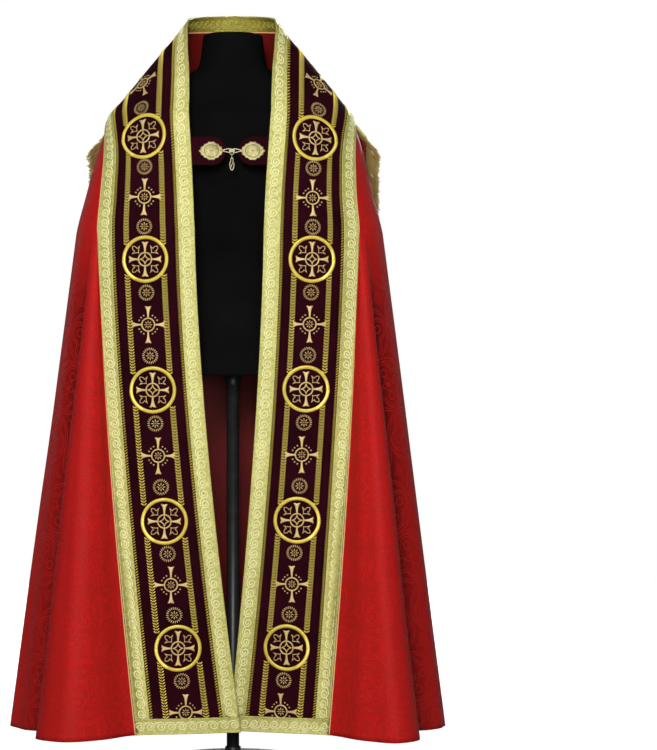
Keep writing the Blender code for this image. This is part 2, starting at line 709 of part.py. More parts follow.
def build_fastening():
    """Two velvet tabs with metal ornaments, the hooks between them, and a hanging clasp."""
    face = TAB_FRONT - SEAM_GAP
    for side, word in ((-1, "left"), (1, "right")):
        back = TAB_FRONT + TAB_WALL
        plate(f"tab_{word}", tab_outline(side), back, TAB_FRONT, material(*VELVET))
        outline = ornament_outline(side)
        plate(f"ornament_{word}", outline, face, face - ORNAMENT_WALL, material(*METAL))
    depth = face - ORNAMENT_WALL - 2 * WIRE_RADIUS
    step = 2 * WIRE_RADIUS + LOOP_GAP
    reach = TAB_GAP + ORNAMENT_INSET + HOOK_UNDER_ORNAMENT
    for side, word, y in ((1, "right", depth), (-1, "left", depth - step)):
        half_length = (reach + HOOK_OVERLAP) / 2
        centre = (CLASP_X + side * (reach - HOOK_OVERLAP) / 2, y, CLASP_Z)
        wire_loop(f"hook_{word}", centre, HOOK_HALF_WIDTH, half_length, "XZ")
    ring_y = depth - 2 * step
    ring_z = CLASP_Z - RING_DROP
    ring = (CLASP_X, ring_y, ring_z)
    wire_loop("clasp_ring", ring, RING_RADIUS, RING_RADIUS, "XZ")
    link_z = ring_z - RING_RADIUS - LINK_HALF_HEIGHT + WIRE_RADIUS * 2 + LOOP_GAP
    link = (CLASP_X, ring_y, link_z)
    wire_loop("drop_link", link, LINK_HALF_HEIGHT, LINK_HALF_WIDTH, "YZ")
    claw_z = link_z - LINK_HALF_HEIGHT - CLAW_HALF_HEIGHT + WIRE_RADIUS * 2 + LOOP_GAP
    claw = (CLASP_X, ring_y, claw_z)
    wire_loop("drop_claw", claw, CLAW_HALF_HEIGHT, CLAW_HALF_WIDTH, "XZ")


def build_form():
    """The smooth torso with its neck, and the pole and foot that it stands on."""
    finish = material(*FORM)
    bm = bmesh.new()
    loops = []
    for row in TORSO_ROWS:
        ring = []
        for k in range(TORSO_RIBS):
            turn = 2 * math.pi * k / TORSO_RIBS
            depth = row.front if math.sin(turn) < 0 else row.back
            x = row.half_width * math.cos(turn)
            ring.append(bm.verts.new((x, depth * math.sin(turn), row.height)))
        loops.append([bm.edges.new((ring[k], ring[k - 1])) for k in range(TORSO_RIBS)])
        if len(loops) in (1, len(TORSO_ROWS)):
            bm.faces.new(ring)
    for low, high in zip(loops, loops[1:]):
        bmesh.ops.bridge_loops(bm, edges=low + high)
    add_object("form_torso", bm, finish)
    pole_top = FORM_BOTTOM - SEAM_GAP
    pole_foot = FOOT_HEIGHT + SEAM_GAP
    bm = bmesh.new()
    bmesh.ops.create_cone(
        bm, cap_ends=True, segments=POLE_FACETS, radius1=POLE_RADIUS, radius2=POLE_RADIUS,
        depth=pole_top - pole_foot, matrix=Matrix.Translation((0, 0, (pole_top + pole_foot) / 2)),
    )
    add_object("stand_pole", bm, material(*STAND))
    bm = bmesh.new()
    bmesh.ops.create_cone(
        bm, cap_ends=True, segments=FOOT_FACETS, radius1=FOOT_RADIUS, radius2=FOOT_RADIUS - FOOT_TAPER,
        depth=FOOT_HEIGHT, matrix=Matrix.Translation((0, 0, FOOT_HEIGHT / 2)),
    )
    add_object("stand_foot", bm, material(*STAND))


def main():
    clear_scene()
    build_body()
    bands = {word: build_band(side, word) for side, word in ((-1, "left"), (1, "right"))}
    build_centre_strip(bands)
    build_neck_inside(bands)
    build_hood()
    build_fastening()
    build_form()


main()
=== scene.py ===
"""The looks of a cope on its dress form.

The cloak is one hanging surface, worked out from a table of smooth sections and, below the
chest, from a row of numbers for each fold. Every cloth piece, ribbon and stitched motif is
drawn flat, in metres across and along its own cloth, and then laid on that surface.
"""

from __future__ import annotations

import logging
import math
from dataclasses import dataclass, replace
from enum import Enum, IntEnum
from functools import cache
from typing import NamedTuple, Sequence

import bmesh
import bpy
import numpy as np
from bpy.types import Material, Mesh, Node, NodeSocket, Object, World
from mathutils import Matrix, Vector
from numpy import ndarray

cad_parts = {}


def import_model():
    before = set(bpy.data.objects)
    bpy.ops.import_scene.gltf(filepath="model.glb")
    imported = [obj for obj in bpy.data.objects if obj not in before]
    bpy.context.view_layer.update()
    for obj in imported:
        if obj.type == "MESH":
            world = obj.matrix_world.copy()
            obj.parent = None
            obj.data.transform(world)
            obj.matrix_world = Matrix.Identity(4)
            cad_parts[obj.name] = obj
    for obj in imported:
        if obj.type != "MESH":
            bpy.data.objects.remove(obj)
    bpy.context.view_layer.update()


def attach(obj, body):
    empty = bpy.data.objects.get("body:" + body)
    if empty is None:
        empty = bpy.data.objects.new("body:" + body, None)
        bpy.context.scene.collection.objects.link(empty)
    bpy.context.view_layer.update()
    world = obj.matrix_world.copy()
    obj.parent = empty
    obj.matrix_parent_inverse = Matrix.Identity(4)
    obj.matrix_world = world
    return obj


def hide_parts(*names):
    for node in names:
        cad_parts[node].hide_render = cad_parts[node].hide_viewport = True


LOG = logging.getLogger("cope")
SEED = 7
MERGE = 0.00003
WORN = "worn"
CLASP_DROP = "clasp_drop"

# The cloak's heights and the band, as the frame has them.
HEM = 0.085
CHEST = 1.087
BAND_TOP = 0.0036
CLOTH_WALL = 0.0020
SEAM = 0.0003
GALLOON = 0.032
BAND_WIDTH = 0.209
BAND_EDGE_FOLD = 2
APEX_ROW = 4.2
FACING_ROW = 4.0
TUCK = 0.008
BAND_OVERRUN = 0.008
RIBS_PER_ROW = 16
# The mesh attribute that carries the painted shade of the cloak's fold hollows.
FOLD_SHADE = "fold_depth"


class Side(Enum):
    """Which half of the cloak, by the sign of x."""

    LEFT = -1
    RIGHT = 1

    def __str__(self) -> str:
        """The side's name as the frame's nodes spell it."""
        return self.name.lower()


class Stitch(IntEnum):
    """The threads of the embroidery, by material slot."""

    GOLD = 0
    PALE = 1
    WHEAT = 2


class Section(NamedTuple):
    """One level cut through the cloak with its folds smoothed away."""

    height: float
    left: float
    right: float
    front: float
    back: float
    squareness: float


class Fold(NamedTuple):
    """A line of the cloak that runs from the chest to the hem."""

    chest_angle: float
    hem_out: float
    hem_depth: float
    growth: float


class BandRow(NamedTuple):
    """Where a rib of the band starts and ends, as it passes over the shoulder."""

    inner_angle: float
    inner_height: float
    outer_angle: float
    outer_height: float


class Crease(NamedTuple):
    """A soft ridge of the cloth by fold number, or a trough where its depth is negative."""

    fold: float
    width: float
    top: float
    depth: float
    drift: float


def table(kind: type, rows: Sequence[tuple]) -> tuple:
    """A table's rows with their columns named."""
    return tuple(kind(*row) for row in rows)


SECTIONS = table(Section, (
    (1.570, 0.066, 0.060, 0.034, 0.078, 2.0), (1.525, 0.087, 0.083, 0.046, 0.086, 2.0),
    (1.444, 0.152, 0.148, 0.087, 0.110, 2.1), (1.362, 0.218, 0.214, 0.114, 0.132, 2.4),
    (1.321, 0.250, 0.243, 0.125, 0.142, 2.6), (1.240, 0.277, 0.269, 0.141, 0.156, 2.7),
    (1.158, 0.300, 0.288, 0.150, 0.164, 2.7), (1.087, 0.318, 0.306, 0.153, 0.169, 2.7),
    (0.750, 0.362, 0.352, 0.200, 0.200, 2.6), (0.400, 0.402, 0.394, 0.235, 0.230, 2.5),
    (0.050, 0.456, 0.440, 0.260, 0.262, 2.4),
))

FOLDS = {
    Side.LEFT: table(Fold, (
        (12.5, -0.018, -0.088, 1.5), (31.0, 0.086, -0.112, 1.5), (49.2, 0.188, -0.134, 1.5),
        (50.4, 0.250, -0.196, 1.1), (51.6, 0.322, -0.226, 1.05), (52.8, 0.382, -0.176, 1.0),
        (54.5, 0.362, -0.092, 1.0), (63.0, 0.418, -0.058, 1.0), (84.0, 0.452, 0.004, 1.0),
        (97.0, 0.424, 0.056, 1.0), (105.0, 0.372, 0.068, 1.1), (116.0, 0.386, 0.142, 1.1),
        (126.0, 0.316, 0.166, 1.1), (134.0, 0.258, 0.118, 1.1), (142.0, 0.262, 0.204, 1.1),
        (160.0, 0.150, 0.250, 1.1), (180.0, 0.000, 0.256, 1.1),
    )),
    Side.RIGHT: table(Fold, (
        (12.5, -0.004, -0.062, 1.5), (31.0, 0.098, -0.096, 1.5), (49.2, 0.196, -0.132, 1.5),
        (50.6, 0.262, -0.206, 1.1), (52.0, 0.330, -0.240, 1.05), (53.4, 0.374, -0.182, 1.0),
        (55.6, 0.352, -0.088, 1.0), (66.0, 0.402, -0.056, 1.0), (86.0, 0.436, 0.002, 1.0),
        (99.0, 0.410, 0.052, 1.0), (107.0, 0.362, 0.066, 1.1), (118.0, 0.374, 0.136, 1.1),
        (128.0, 0.310, 0.162, 1.1), (136.0, 0.252, 0.114, 1.1), (144.0, 0.258, 0.200, 1.1),
        (161.0, 0.146, 0.248, 1.1), (180.0, 0.000, 0.256, 1.1),
    )),
}

BAND_ROWS = table(BandRow, (
    (12.5, 1.087, 49.2, 1.087), (14.0, 1.165, 52.5, 1.165), (16.0, 1.245, 57.5, 1.238),
    (19.0, 1.325, 66.0, 1.284), (27.0, 1.408, 78.0, 1.310), (46.0, 1.478, 93.0, 1.322),
    (80.0, 1.519, 113.0, 1.329), (116.0, 1.534, 137.0, 1.333), (150.0, 1.542, 160.0, 1.336),
    (180.0, 1.545, 180.0, 1.337),
))

# Where painted shade darkens the hollows of the skirt: fold number, width in folds, and depth from
# 0 to 1.
SHADED_VALLEYS = {
    Side.LEFT: ((5.95, 1.25, 1.00), (10.1, 0.95, 0.60), (13.0, 0.85, 0.65)),
    Side.RIGHT: ((6.00, 1.20, 1.00), (10.1, 0.95, 0.60), (13.0, 0.85, 0.65)),
}

CREASES = {
    Side.LEFT: table(Crease, (
        (3.35, 0.30, 0.98, 0.0035, 0.15), (4.45, 0.22, 0.85, -0.0040, -0.10),
        (5.55, 0.20, 0.90, 0.0030, 0.05), (7.30, 0.26, 1.02, -0.0050, 0.25),
        (8.10, 0.30, 0.80, 0.0045, -0.20), (9.10, 0.24, 0.95, -0.0045, 0.10),
        (10.6, 0.30, 0.86, 0.0050, 0.10), (11.7, 0.26, 0.80, -0.0055, -0.15),
        (13.4, 0.30, 0.82, 0.0045, 0.10), (14.5, 0.26, 0.78, -0.0050, 0.20),
        (15.4, 0.24, 0.70, -0.0060, -0.12),
    )),
    Side.RIGHT: table(Crease, (
        (3.25, 0.24, 0.92, -0.0030, 0.10), (4.55, 0.26, 0.99, 0.0035, 0.10),
        (5.60, 0.20, 0.82, -0.0035, -0.05), (7.20, 0.30, 0.98, 0.0050, 0.20),
        (7.95, 0.24, 0.84, -0.0055, -0.15), (9.30, 0.26, 0.90, 0.0045, 0.15),
        (10.8, 0.26, 0.80, -0.0055, 0.10), (12.2, 0.30, 0.84, 0.0045, -0.15),
        (13.6, 0.26, 0.80, -0.0050, 0.15), (14.6, 0.24, 0.74, 0.0050, -0.15),
        (15.5, 0.26, 0.80, -0.0055, 0.18),
    )),
}

# The hood's sheet: height, half width, depth.
HOOD_ROWS = (
    (1.345, 0.262, 0.1412), (1.320, 0.277, 0.1472), (1.280, 0.298, 0.1600),
    (1.200, 0.312, 0.1740), (1.087, 0.330, 0.1850), (0.980, 0.342, 0.1960),
    (0.830, 0.352, 0.2140),
)

# The torso: height, half width, depth in front, depth behind.
TORSO_ROWS = (
    (0.800, 0.150, 0.098, 0.110), (0.900, 0.152, 0.096, 0.108),
    (1.000, 0.136, 0.088, 0.096), (1.100, 0.148, 0.098, 0.100),
    (1.200, 0.178, 0.106, 0.110), (1.290, 0.208, 0.094, 0.108),
    (1.330, 0.2235, 0.080, 0.098), (1.352, 0.2215, 0.068, 0.088),
    (1.374, 0.1975, 0.060, 0.080), (1.394, 0.150, 0.058, 0.074),
    (1.412, 0.094, 0.058, 0.068), (1.430, 0.070, 0.058, 0.064),
    (1.470, 0.063, 0.056, 0.062), (1.490, 0.061, 0.054, 0.060),
)


def places(*numbers: object) -> ndarray:
    """Places from their numbers, brought to one shape, with the numbers last."""
    return np.stack(np.broadcast_arrays(*numbers), axis=-1)


def lifted(flat: ndarray, lift: object) -> ndarray:
    """Flat places with their height above the cloth put last."""
    return places(flat[..., 0], flat[..., 1], lift)


def unit_length(vectors: ndarray) -> ndarray:
    """Vectors brought to a length of one."""
    return vectors / np.linalg.norm(vectors, axis=-1, keepdims=True)


def steps(count: int) -> ndarray:
    """Even turns once round, in degrees."""
    return np.arange(count) * 360 / count


def on_ring(radius: float, turns: object) -> ndarray:
    """Flat places on a circle round zero, at turns in degrees."""
    angle = np.radians(turns)
    return radius * places(np.cos(angle), np.sin(angle))


def turned(points: ndarray, degrees: float, move: Sequence[float] = (0.0, 0.0)) -> ndarray:
    """Flat places turned round zero and moved."""
    c, s = math.cos(math.radians(degrees)), math.sin(math.radians(degrees))
    x, y = points[:, 0], points[:, 1]
    return places(x * c - y * s + move[0], x * s + y * c + move[1])


def steady_curve(x: object, xs: Sequence[float], ys: Sequence[float]) -> ndarray:
    """A smooth curve through points that never overshoots them.

    Args:
        x: Where to read the curve.
        xs: The points' places, rising or falling.
        ys: The points' values.

    Returns:
        The curve's values at x.
    """
    xs, ys = np.asarray(xs, float), np.asarray(ys, float)
    if xs[0] > xs[-1]:
        xs, ys = xs[::-1], ys[::-1]
    step = np.diff(xs)
    slope = np.diff(ys) / step
    same_way = slope[:-1] * slope[1:] > 0
    inner = np.zeros(len(slope) - 1)
    inner[same_way] = 2 * slope[:-1][same_way] * slope[1:][same_way]
    inner[same_way] /= slope[:-1][same_way] + slope[1:][same_way]
    tangent = np.concatenate([[slope[0]], inner, [slope[-1]]])
    x = np.clip(np.asarray(x, float), xs[0], xs[-1])
    k = np.clip(np.searchsorted(xs, x, side="right") - 1, 0, len(step) - 1)
    t = (x - xs[k]) / step[k]
    rise, start, end = ys[k + 1] - ys[k], tangent[k] * step[k], tangent[k + 1] * step[k]
    return ys[k] + start * t + (3 * rise - 2 * start - end) * t**2 + (start + end - 2 * rise) * t**3


def round_curve(u: object, ys: Sequence[float]) -> ndarray:
    """A rounded curve through values that stand one apart.

    Args:
        u: Where to read the curve, counted from the first value.
        ys: The values.

    Returns:
        The curve's values at u.
    """
    ys = np.asarray(ys, float)
    padded = np.concatenate([[2 * ys[0] - ys[1]], ys, [2 * ys[-1] - ys[-2]]])
    u = np.clip(np.asarray(u, float), 0, len(ys) - 1)
    k = np.clip(np.floor(u).astype(int), 0, len(ys) - 2)
    t = u - k
    a, b, c, d = padded[k], padded[k + 1], padded[k + 2], padded[k + 3]
    return b + 0.5 * t * (c - a + t * (2 * a - 5 * b + 4 * c - d + t * (3 * (b - c) + d - a)))


def column(rows: Sequence[NamedTuple], name: str) -> list[float]:
    """One named column of a table."""
    return [getattr(row, name) for row in rows]


def run_lengths(points: ndarray) -> ndarray:
    """Distances along a line of points, from its first one."""
    return np.concatenate([[0.0], np.cumsum(np.linalg.norm(np.diff(points, axis=0), axis=1))])


def outward(points: ndarray, sign: int) -> ndarray:
    """Unit normals of a grid of points; sign is 1 where across turned to along points away."""
    return unit_length(np.cross(np.gradient(points, axis=1), np.gradient(points, axis=0))) * sign


class CloakForm:
    """The hanging surface that all the cloth follows."""

    def section(self, height: object, name: str) -> ndarray:
        """One size of the smooth cloak at a height."""
        return steady_curve(height, column(SECTIONS, "height"), column(SECTIONS, name))

    def envelope(self, side: Side, angle: object, height: object) -> ndarray:
        """Points of the smooth cloak.

        Args:
            side: Which half.
            angle: Degrees round from centre front, 0, to centre back, 180.
            height: Heights above the floor.

        Returns:
            Points, with x, y and z last.
        """
        angle, height = np.broadcast_arrays(np.radians(angle), np.asarray(height, float))
        power = self.section(height, "squareness")
        sine, cosine = np.abs(np.sin(angle)), np.cos(angle)
        reach = (sine**power + np.abs(cosine) ** power) ** (-1 / power)
        front, back = self.section(height, "front"), self.section(height, "back")
        x = side.value * self.section(height, str(side)) * reach * sine
        return places(x, -np.where(cosine > 0, front, back) * reach * cosine, height)

    def chest_angle(self, side: Side, fold: object) -> ndarray:
        """The angle at which a fold leaves the chest."""
        angles = column(FOLDS[side], "chest_angle")
        return steady_curve(fold, range(len(angles)), angles)

    def band_row(self, k: object) -> list[ndarray]:
        """Inner angle and height and outer angle and height at row number k of the band."""
        numbers = range(len(BAND_ROWS))
        return [steady_curve(k, numbers, column(BAND_ROWS, name)) for name in BandRow._fields]

    def outer_angle(self, height: object) -> ndarray:
        """The angle of the band's outer edge between the chest and the shoulder."""
        rows = self.band_row(np.linspace(0, APEX_ROW, 80))
        return np.interp(height, rows[3], rows[2])

    def outer_height(self, angle: object) -> ndarray:
        """The height of the band's outer edge between the shoulder and the back."""
        rows = self.band_row(np.linspace(APEX_ROW, len(BAND_ROWS) - 1, 80))
        return np.interp(angle, rows[2], rows[3])

    def hanging(self, side: Side, fold: object, height: object) -> ndarray:
        """Points of the folded cloak.

        Args:
            side: Which half.
            fold: Fold numbers of the side's table.
            height: Heights above the floor.

        Returns:
            Points, with x, y and z last.
        """
        fold, height = np.broadcast_arrays(np.asarray(fold, float), np.asarray(height, float))
        rows = FOLDS[side]
        edge = self.outer_angle(np.maximum(height, CHEST))
        edge_at_chest = rows[BAND_EDGE_FOLD].chest_angle
        share = (self.chest_angle(side, fold) - edge_at_chest) / (180 - edge_at_chest)
        level = self.envelope(side, edge + (180 - edge) * share, np.maximum(height, CHEST))
        drop = np.clip((CHEST - height) / (CHEST - HEM), 0, 1)
        share = drop ** round_curve(fold, column(rows, "growth"))
        hem_x = side.value * round_curve(fold, column(rows, "hem_out"))
        hem_y = round_curve(fold, column(rows, "hem_depth"))
        x, y = level[..., 0], level[..., 1]
        return places(x + (hem_x - x) * share, y + (hem_y - y) * share, height)


@dataclass
class ClothMap:
    """A flat cloth laid on the cloak.

    Attributes:
        u: Places across, one for each column of points.
        t: Places along, one for each row of points.
        points: The surface under the cloth.
        normals: Unit normals there, away from the wearer.
    """

    u: ndarray
    t: ndarray
    points: ndarray
    normals: ndarray

    def read(self, grid: ndarray, u: ndarray, t: ndarray) -> ndarray:
        """Values of a grid at flat places, evened between its points.

        Args:
            grid: One value, or row of values, for each of the map's points.
            u: Places across.
            t: Places along.

        Returns:
            The grid's values at those places.
        """
        i = np.clip(np.searchsorted(self.t, t, side="right") - 1, 0, len(self.t) - 2)
        j = np.clip(np.searchsorted(self.u, u, side="right") - 1, 0, len(self.u) - 2)
        a = ((t - self.t[i]) / (self.t[i + 1] - self.t[i]))[..., None]
        b = ((u - self.u[j]) / (self.u[j + 1] - self.u[j]))[..., None]
        low = grid[i, j] * (1 - b) + grid[i, j + 1] * b
        high = grid[i + 1, j] * (1 - b) + grid[i + 1, j + 1] * b
        return low * (1 - a) + high * a

    def place(self, flat: ndarray) -> ndarray:
        """Points in space of flat places, given as places across, along and out from the cloak."""
        u, t, lift = flat[..., 0], flat[..., 1], flat[..., 2:]
        return self.read(self.points, u, t) + unit_length(self.read(self.normals, u, t)) * lift

    def squared(self, flat: ndarray, centre: tuple[float, float]) -> ndarray:
        """Flat places of a motif, drawn round its own centre, that keep its shape in space.

        Args:
            flat: The motif's own flat places.
            centre: Where its centre goes on the cloth.

        Returns:
            Flat places on the cloth.
        """
        reach = 0.004
        u, t = centre
        across, along = np.array([-reach, reach, 0, 0]), np.array([0, 0, -reach, reach])
        low_u, high_u, low_t, high_t = self.place(places(u + across, t + along, 0))
        across, along = (high_u - low_u) / (2 * reach), (high_t - low_t) / (2 * reach)
        stretch = np.linalg.norm(across)
        slant = float(along @ (across / stretch))
        dt = flat[..., 1] / np.linalg.norm(along - slant * (across / stretch))
        return places(u + (flat[..., 0] - slant * dt) / stretch, t + dt, flat[..., 2])


@dataclass
class BandMap(ClothMap):
    """One half of the band, with u from its inner edge and t from the hem up to the nape."""

    heights: ndarray

    @classmethod
    def build(cls, form: CloakForm, side: Side) -> BandMap:
        """The map of one half of the band.

        Args:
            form: The cloak's surface.
            side: Which half.

        Returns:
            The map, with t measured along the band's middle.
        """
        dense, overrun, columns = 61, 5, 53
        across = np.linspace(0, 1 + overrun / (dense - 1), dense + overrun)
        low = np.linspace(HEM, CHEST, 150)[:-1]
        ribs = [form.hanging(side, across * BAND_EDGE_FOLD, z) for z in low]
        last_row = len(BAND_ROWS) - 1
        for k in np.linspace(0, last_row, RIBS_PER_ROW * last_row + 1):
            inner_angle, inner_height, outer_angle, outer_height = form.band_row(k)
            angle = inner_angle + (outer_angle - inner_angle) * across
            height = inner_height + (outer_height - inner_height) * across
            ribs.append(form.envelope(side, angle, height))
        ribs = np.array(ribs)
        ribs[-1, :, 0] = side.value * SEAM / 2
        beyond = BAND_WIDTH + np.linspace(0.001, BAND_OVERRUN, 5)
        u = np.concatenate([np.linspace(0, BAND_WIDTH, columns), beyond])
        stops = [0, GALLOON, BAND_WIDTH - GALLOON, BAND_WIDTH, BAND_WIDTH + BAND_OVERRUN]
        points, normals = [], []
        for rib, normal in zip(ribs, outward(ribs, side.value)):
            run = run_lengths(rib)
            width = run[dense - 1]
            where = np.interp(u, stops, [0, GALLOON, width - GALLOON, width, width + BAND_OVERRUN])
            for made, line in ((points, rib), (normals, normal)):
                made.append(places(*(np.interp(where, run, line[:, i]) for i in range(3))))
        points = np.array(points)
        middle = points[:, columns // 2]
        return cls(u, run_lengths(middle), points, np.array(normals), middle[:, 2])

    def along(self, height: float) -> float:
        """The place along the band where its middle is at a height, below the shoulder."""
        top = int(np.argmax(self.heights > 1.40))
        return float(np.interp(height, self.heights[:top], self.t[:top]))


def hood_map() -> ClothMap:
    """The map of the hood's outer face, with u from the middle of the back and t the height."""
    u, t = np.linspace(-0.325, 0.325, 66), np.linspace(0.82, 1.345, 56)
    heights, *sizes = np.array(HOOD_ROWS).T
    half_width, back = (steady_curve(t, heights, size)[:, None] for size in sizes)
    ratio = np.minimum(np.abs(u)[None, :] / half_width, 0.995)
    points = places(u, back * (1 - ratio**2.5) ** (1 / 2.5), t[:, None])
    return ClothMap(u, t, points, outward(points, -1))


def finished(bm: bmesh.types.BMesh, name: str) -> Mesh:
    """A bmesh's drawing as a mesh, with the bmesh freed."""
    mesh = bpy.data.meshes.new(name)
    bm.to_mesh(mesh)
    bm.free()
    return mesh


def values(items: object, name: str, width: int = 3, kind: type = np.float32) -> ndarray:
    """One value of each of a mesh's items, in rows."""
    flat = np.empty(len(items) * width, kind)
    items.foreach_get(name, flat)
    return flat.reshape(-1, width)


def coordinates(mesh: Mesh) -> ndarray:
    """The places of a mesh's points."""
    return values(mesh.vertices, "co").astype(float)


def put(mesh: Mesh, points: ndarray) -> None:
    """Moves a mesh's points to new places."""
    mesh.vertices.foreach_set("co", np.ascontiguousarray(points, np.float32).ravel())
    mesh.update()


def write_uv(mesh: Mesh, flat: ndarray) -> None:
    """Keeps flat places, in metres, as the mesh's UV map."""
    corner = values(mesh.loops, "vertex_index", 1, np.int32)[:, 0]
    layer = mesh.uv_layers.new(name="cloth")
    layer.data.foreach_set("uv", np.ascontiguousarray(flat[corner, :2], np.float32).ravel())


def joined(*units: Mesh) -> Mesh:
    """Several units as one."""
    bm = bmesh.new()
    for unit in units:
        bm.from_mesh(unit)
    return finished(bm, "unit")


def grain(length: float, width: float, height: float, turn: float = 0.0,
          place: Sequence[float] = (0.0, 0.0), slot: int = 0) -> Mesh:
    """A small seed-shaped stitch that points along x.

    Args:
        length: Its length.
        width: Its width.
        height: How far it stands above and below its middle.
        turn: Degrees that it is turned by.
        place: Where its middle is.
        slot: The material's number.

    Returns:
        The stitch's mesh.
    """
    bm = bmesh.new()
    size = Matrix.Diagonal((width / 2, height, length / 2, 1.0))
    lie = Matrix.Rotation(math.radians(90), 4, "Z") @ Matrix.Rotation(math.radians(-90), 4, "X")
    move = Matrix.Translation((*place, 0.0)) @ Matrix.Rotation(math.radians(turn), 4, "Z")
    bmesh.ops.create_uvsphere(bm, u_segments=6, v_segments=3, radius=1.0, matrix=move @ lie @ size)
    for face in bm.faces:
        face.material_index = slot
    return finished(bm, "grain")


class FlatPath:
    """A line on the flat cloth, with places beside it."""

    def __init__(self, points: ndarray, closed: bool = False) -> None:
        """Measures a line.

        Args:
            points: Flat places, two numbers each.
            closed: Whether the line runs back to its start.
        """
        points = np.asarray(points, float)
        if closed:
            points = np.concatenate([points, points[:1]])
        self.points, self.closed, self.run = points, closed, run_lengths(points)
        self.length = float(self.run[-1])
        ahead = unit_length(np.diff(points, axis=0))
        first, last = ahead[:1], ahead[-1:]
        before = np.concatenate([last if closed else first, ahead])
        middle = before + np.concatenate([ahead, first if closed else last])
        middle /= np.maximum(np.linalg.norm(middle, axis=1, keepdims=True), 0.3)
        mitre = 1 / np.maximum((middle * before).sum(axis=1, keepdims=True), 0.45)
        self.beside = places(-middle[:, 1], middle[:, 0]) * mitre

    def at(self, along: ndarray, across: object) -> ndarray:
        """Flat places by distance along the line and to its left."""
        middle, beside = (
            places(*(np.interp(along, self.run, line[:, i]) for i in range(2)))
            for line in (self.points, self.beside)
        )
        return middle + np.asarray(across)[..., None] * beside


def straight(start: Sequence[float], end: Sequence[float], count: int) -> FlatPath:
    """A straight line between two flat places, cut into steps."""
    return FlatPath(np.linspace(start, end, count))


def circle(radius: float, count: int) -> FlatPath:
    """A closed circle round zero."""
    return FlatPath(on_ring(radius, steps(count)), closed=True)


def cut(width: float, high: float, low: float = 0.0) -> list[tuple[float, float]]:
    """The cut of a raised line: flat below, rounded above."""
    half, top = width / 2, low + (high - low) * 0.85
    return [(-half, low), (half, low), (half * 0.6, top), (0.0, high), (-half * 0.6, top)]


def tape(width: float, low: float, high: float) -> list[tuple[float, float]]:
    """The cut of a ribbon: a plain raised border down each side of a slightly lower field.

    Args:
        width: The ribbon's width.
        low: The height of its underside.
        high: The height of its border.

    Returns:
        Places across and up, once round the cut.
    """
    half, step = width / 2, math.copysign(0.0001, high - low)
    border = ((0.0008, high), (0.0026, high), (0.0032, high - 3 * step))
    marks = ((0.0, low), (0.0, high - 2 * step), *border)
    right = [(half - inset, lift) for inset, lift in marks]
    left = [(inset - half, lift) for inset, lift in marks[::-1]]
    inner, floor = right[-1]
    return right + [(inner * share, floor) for share in (0.67, 0.33, 0.0, -0.33, -0.67)] + left


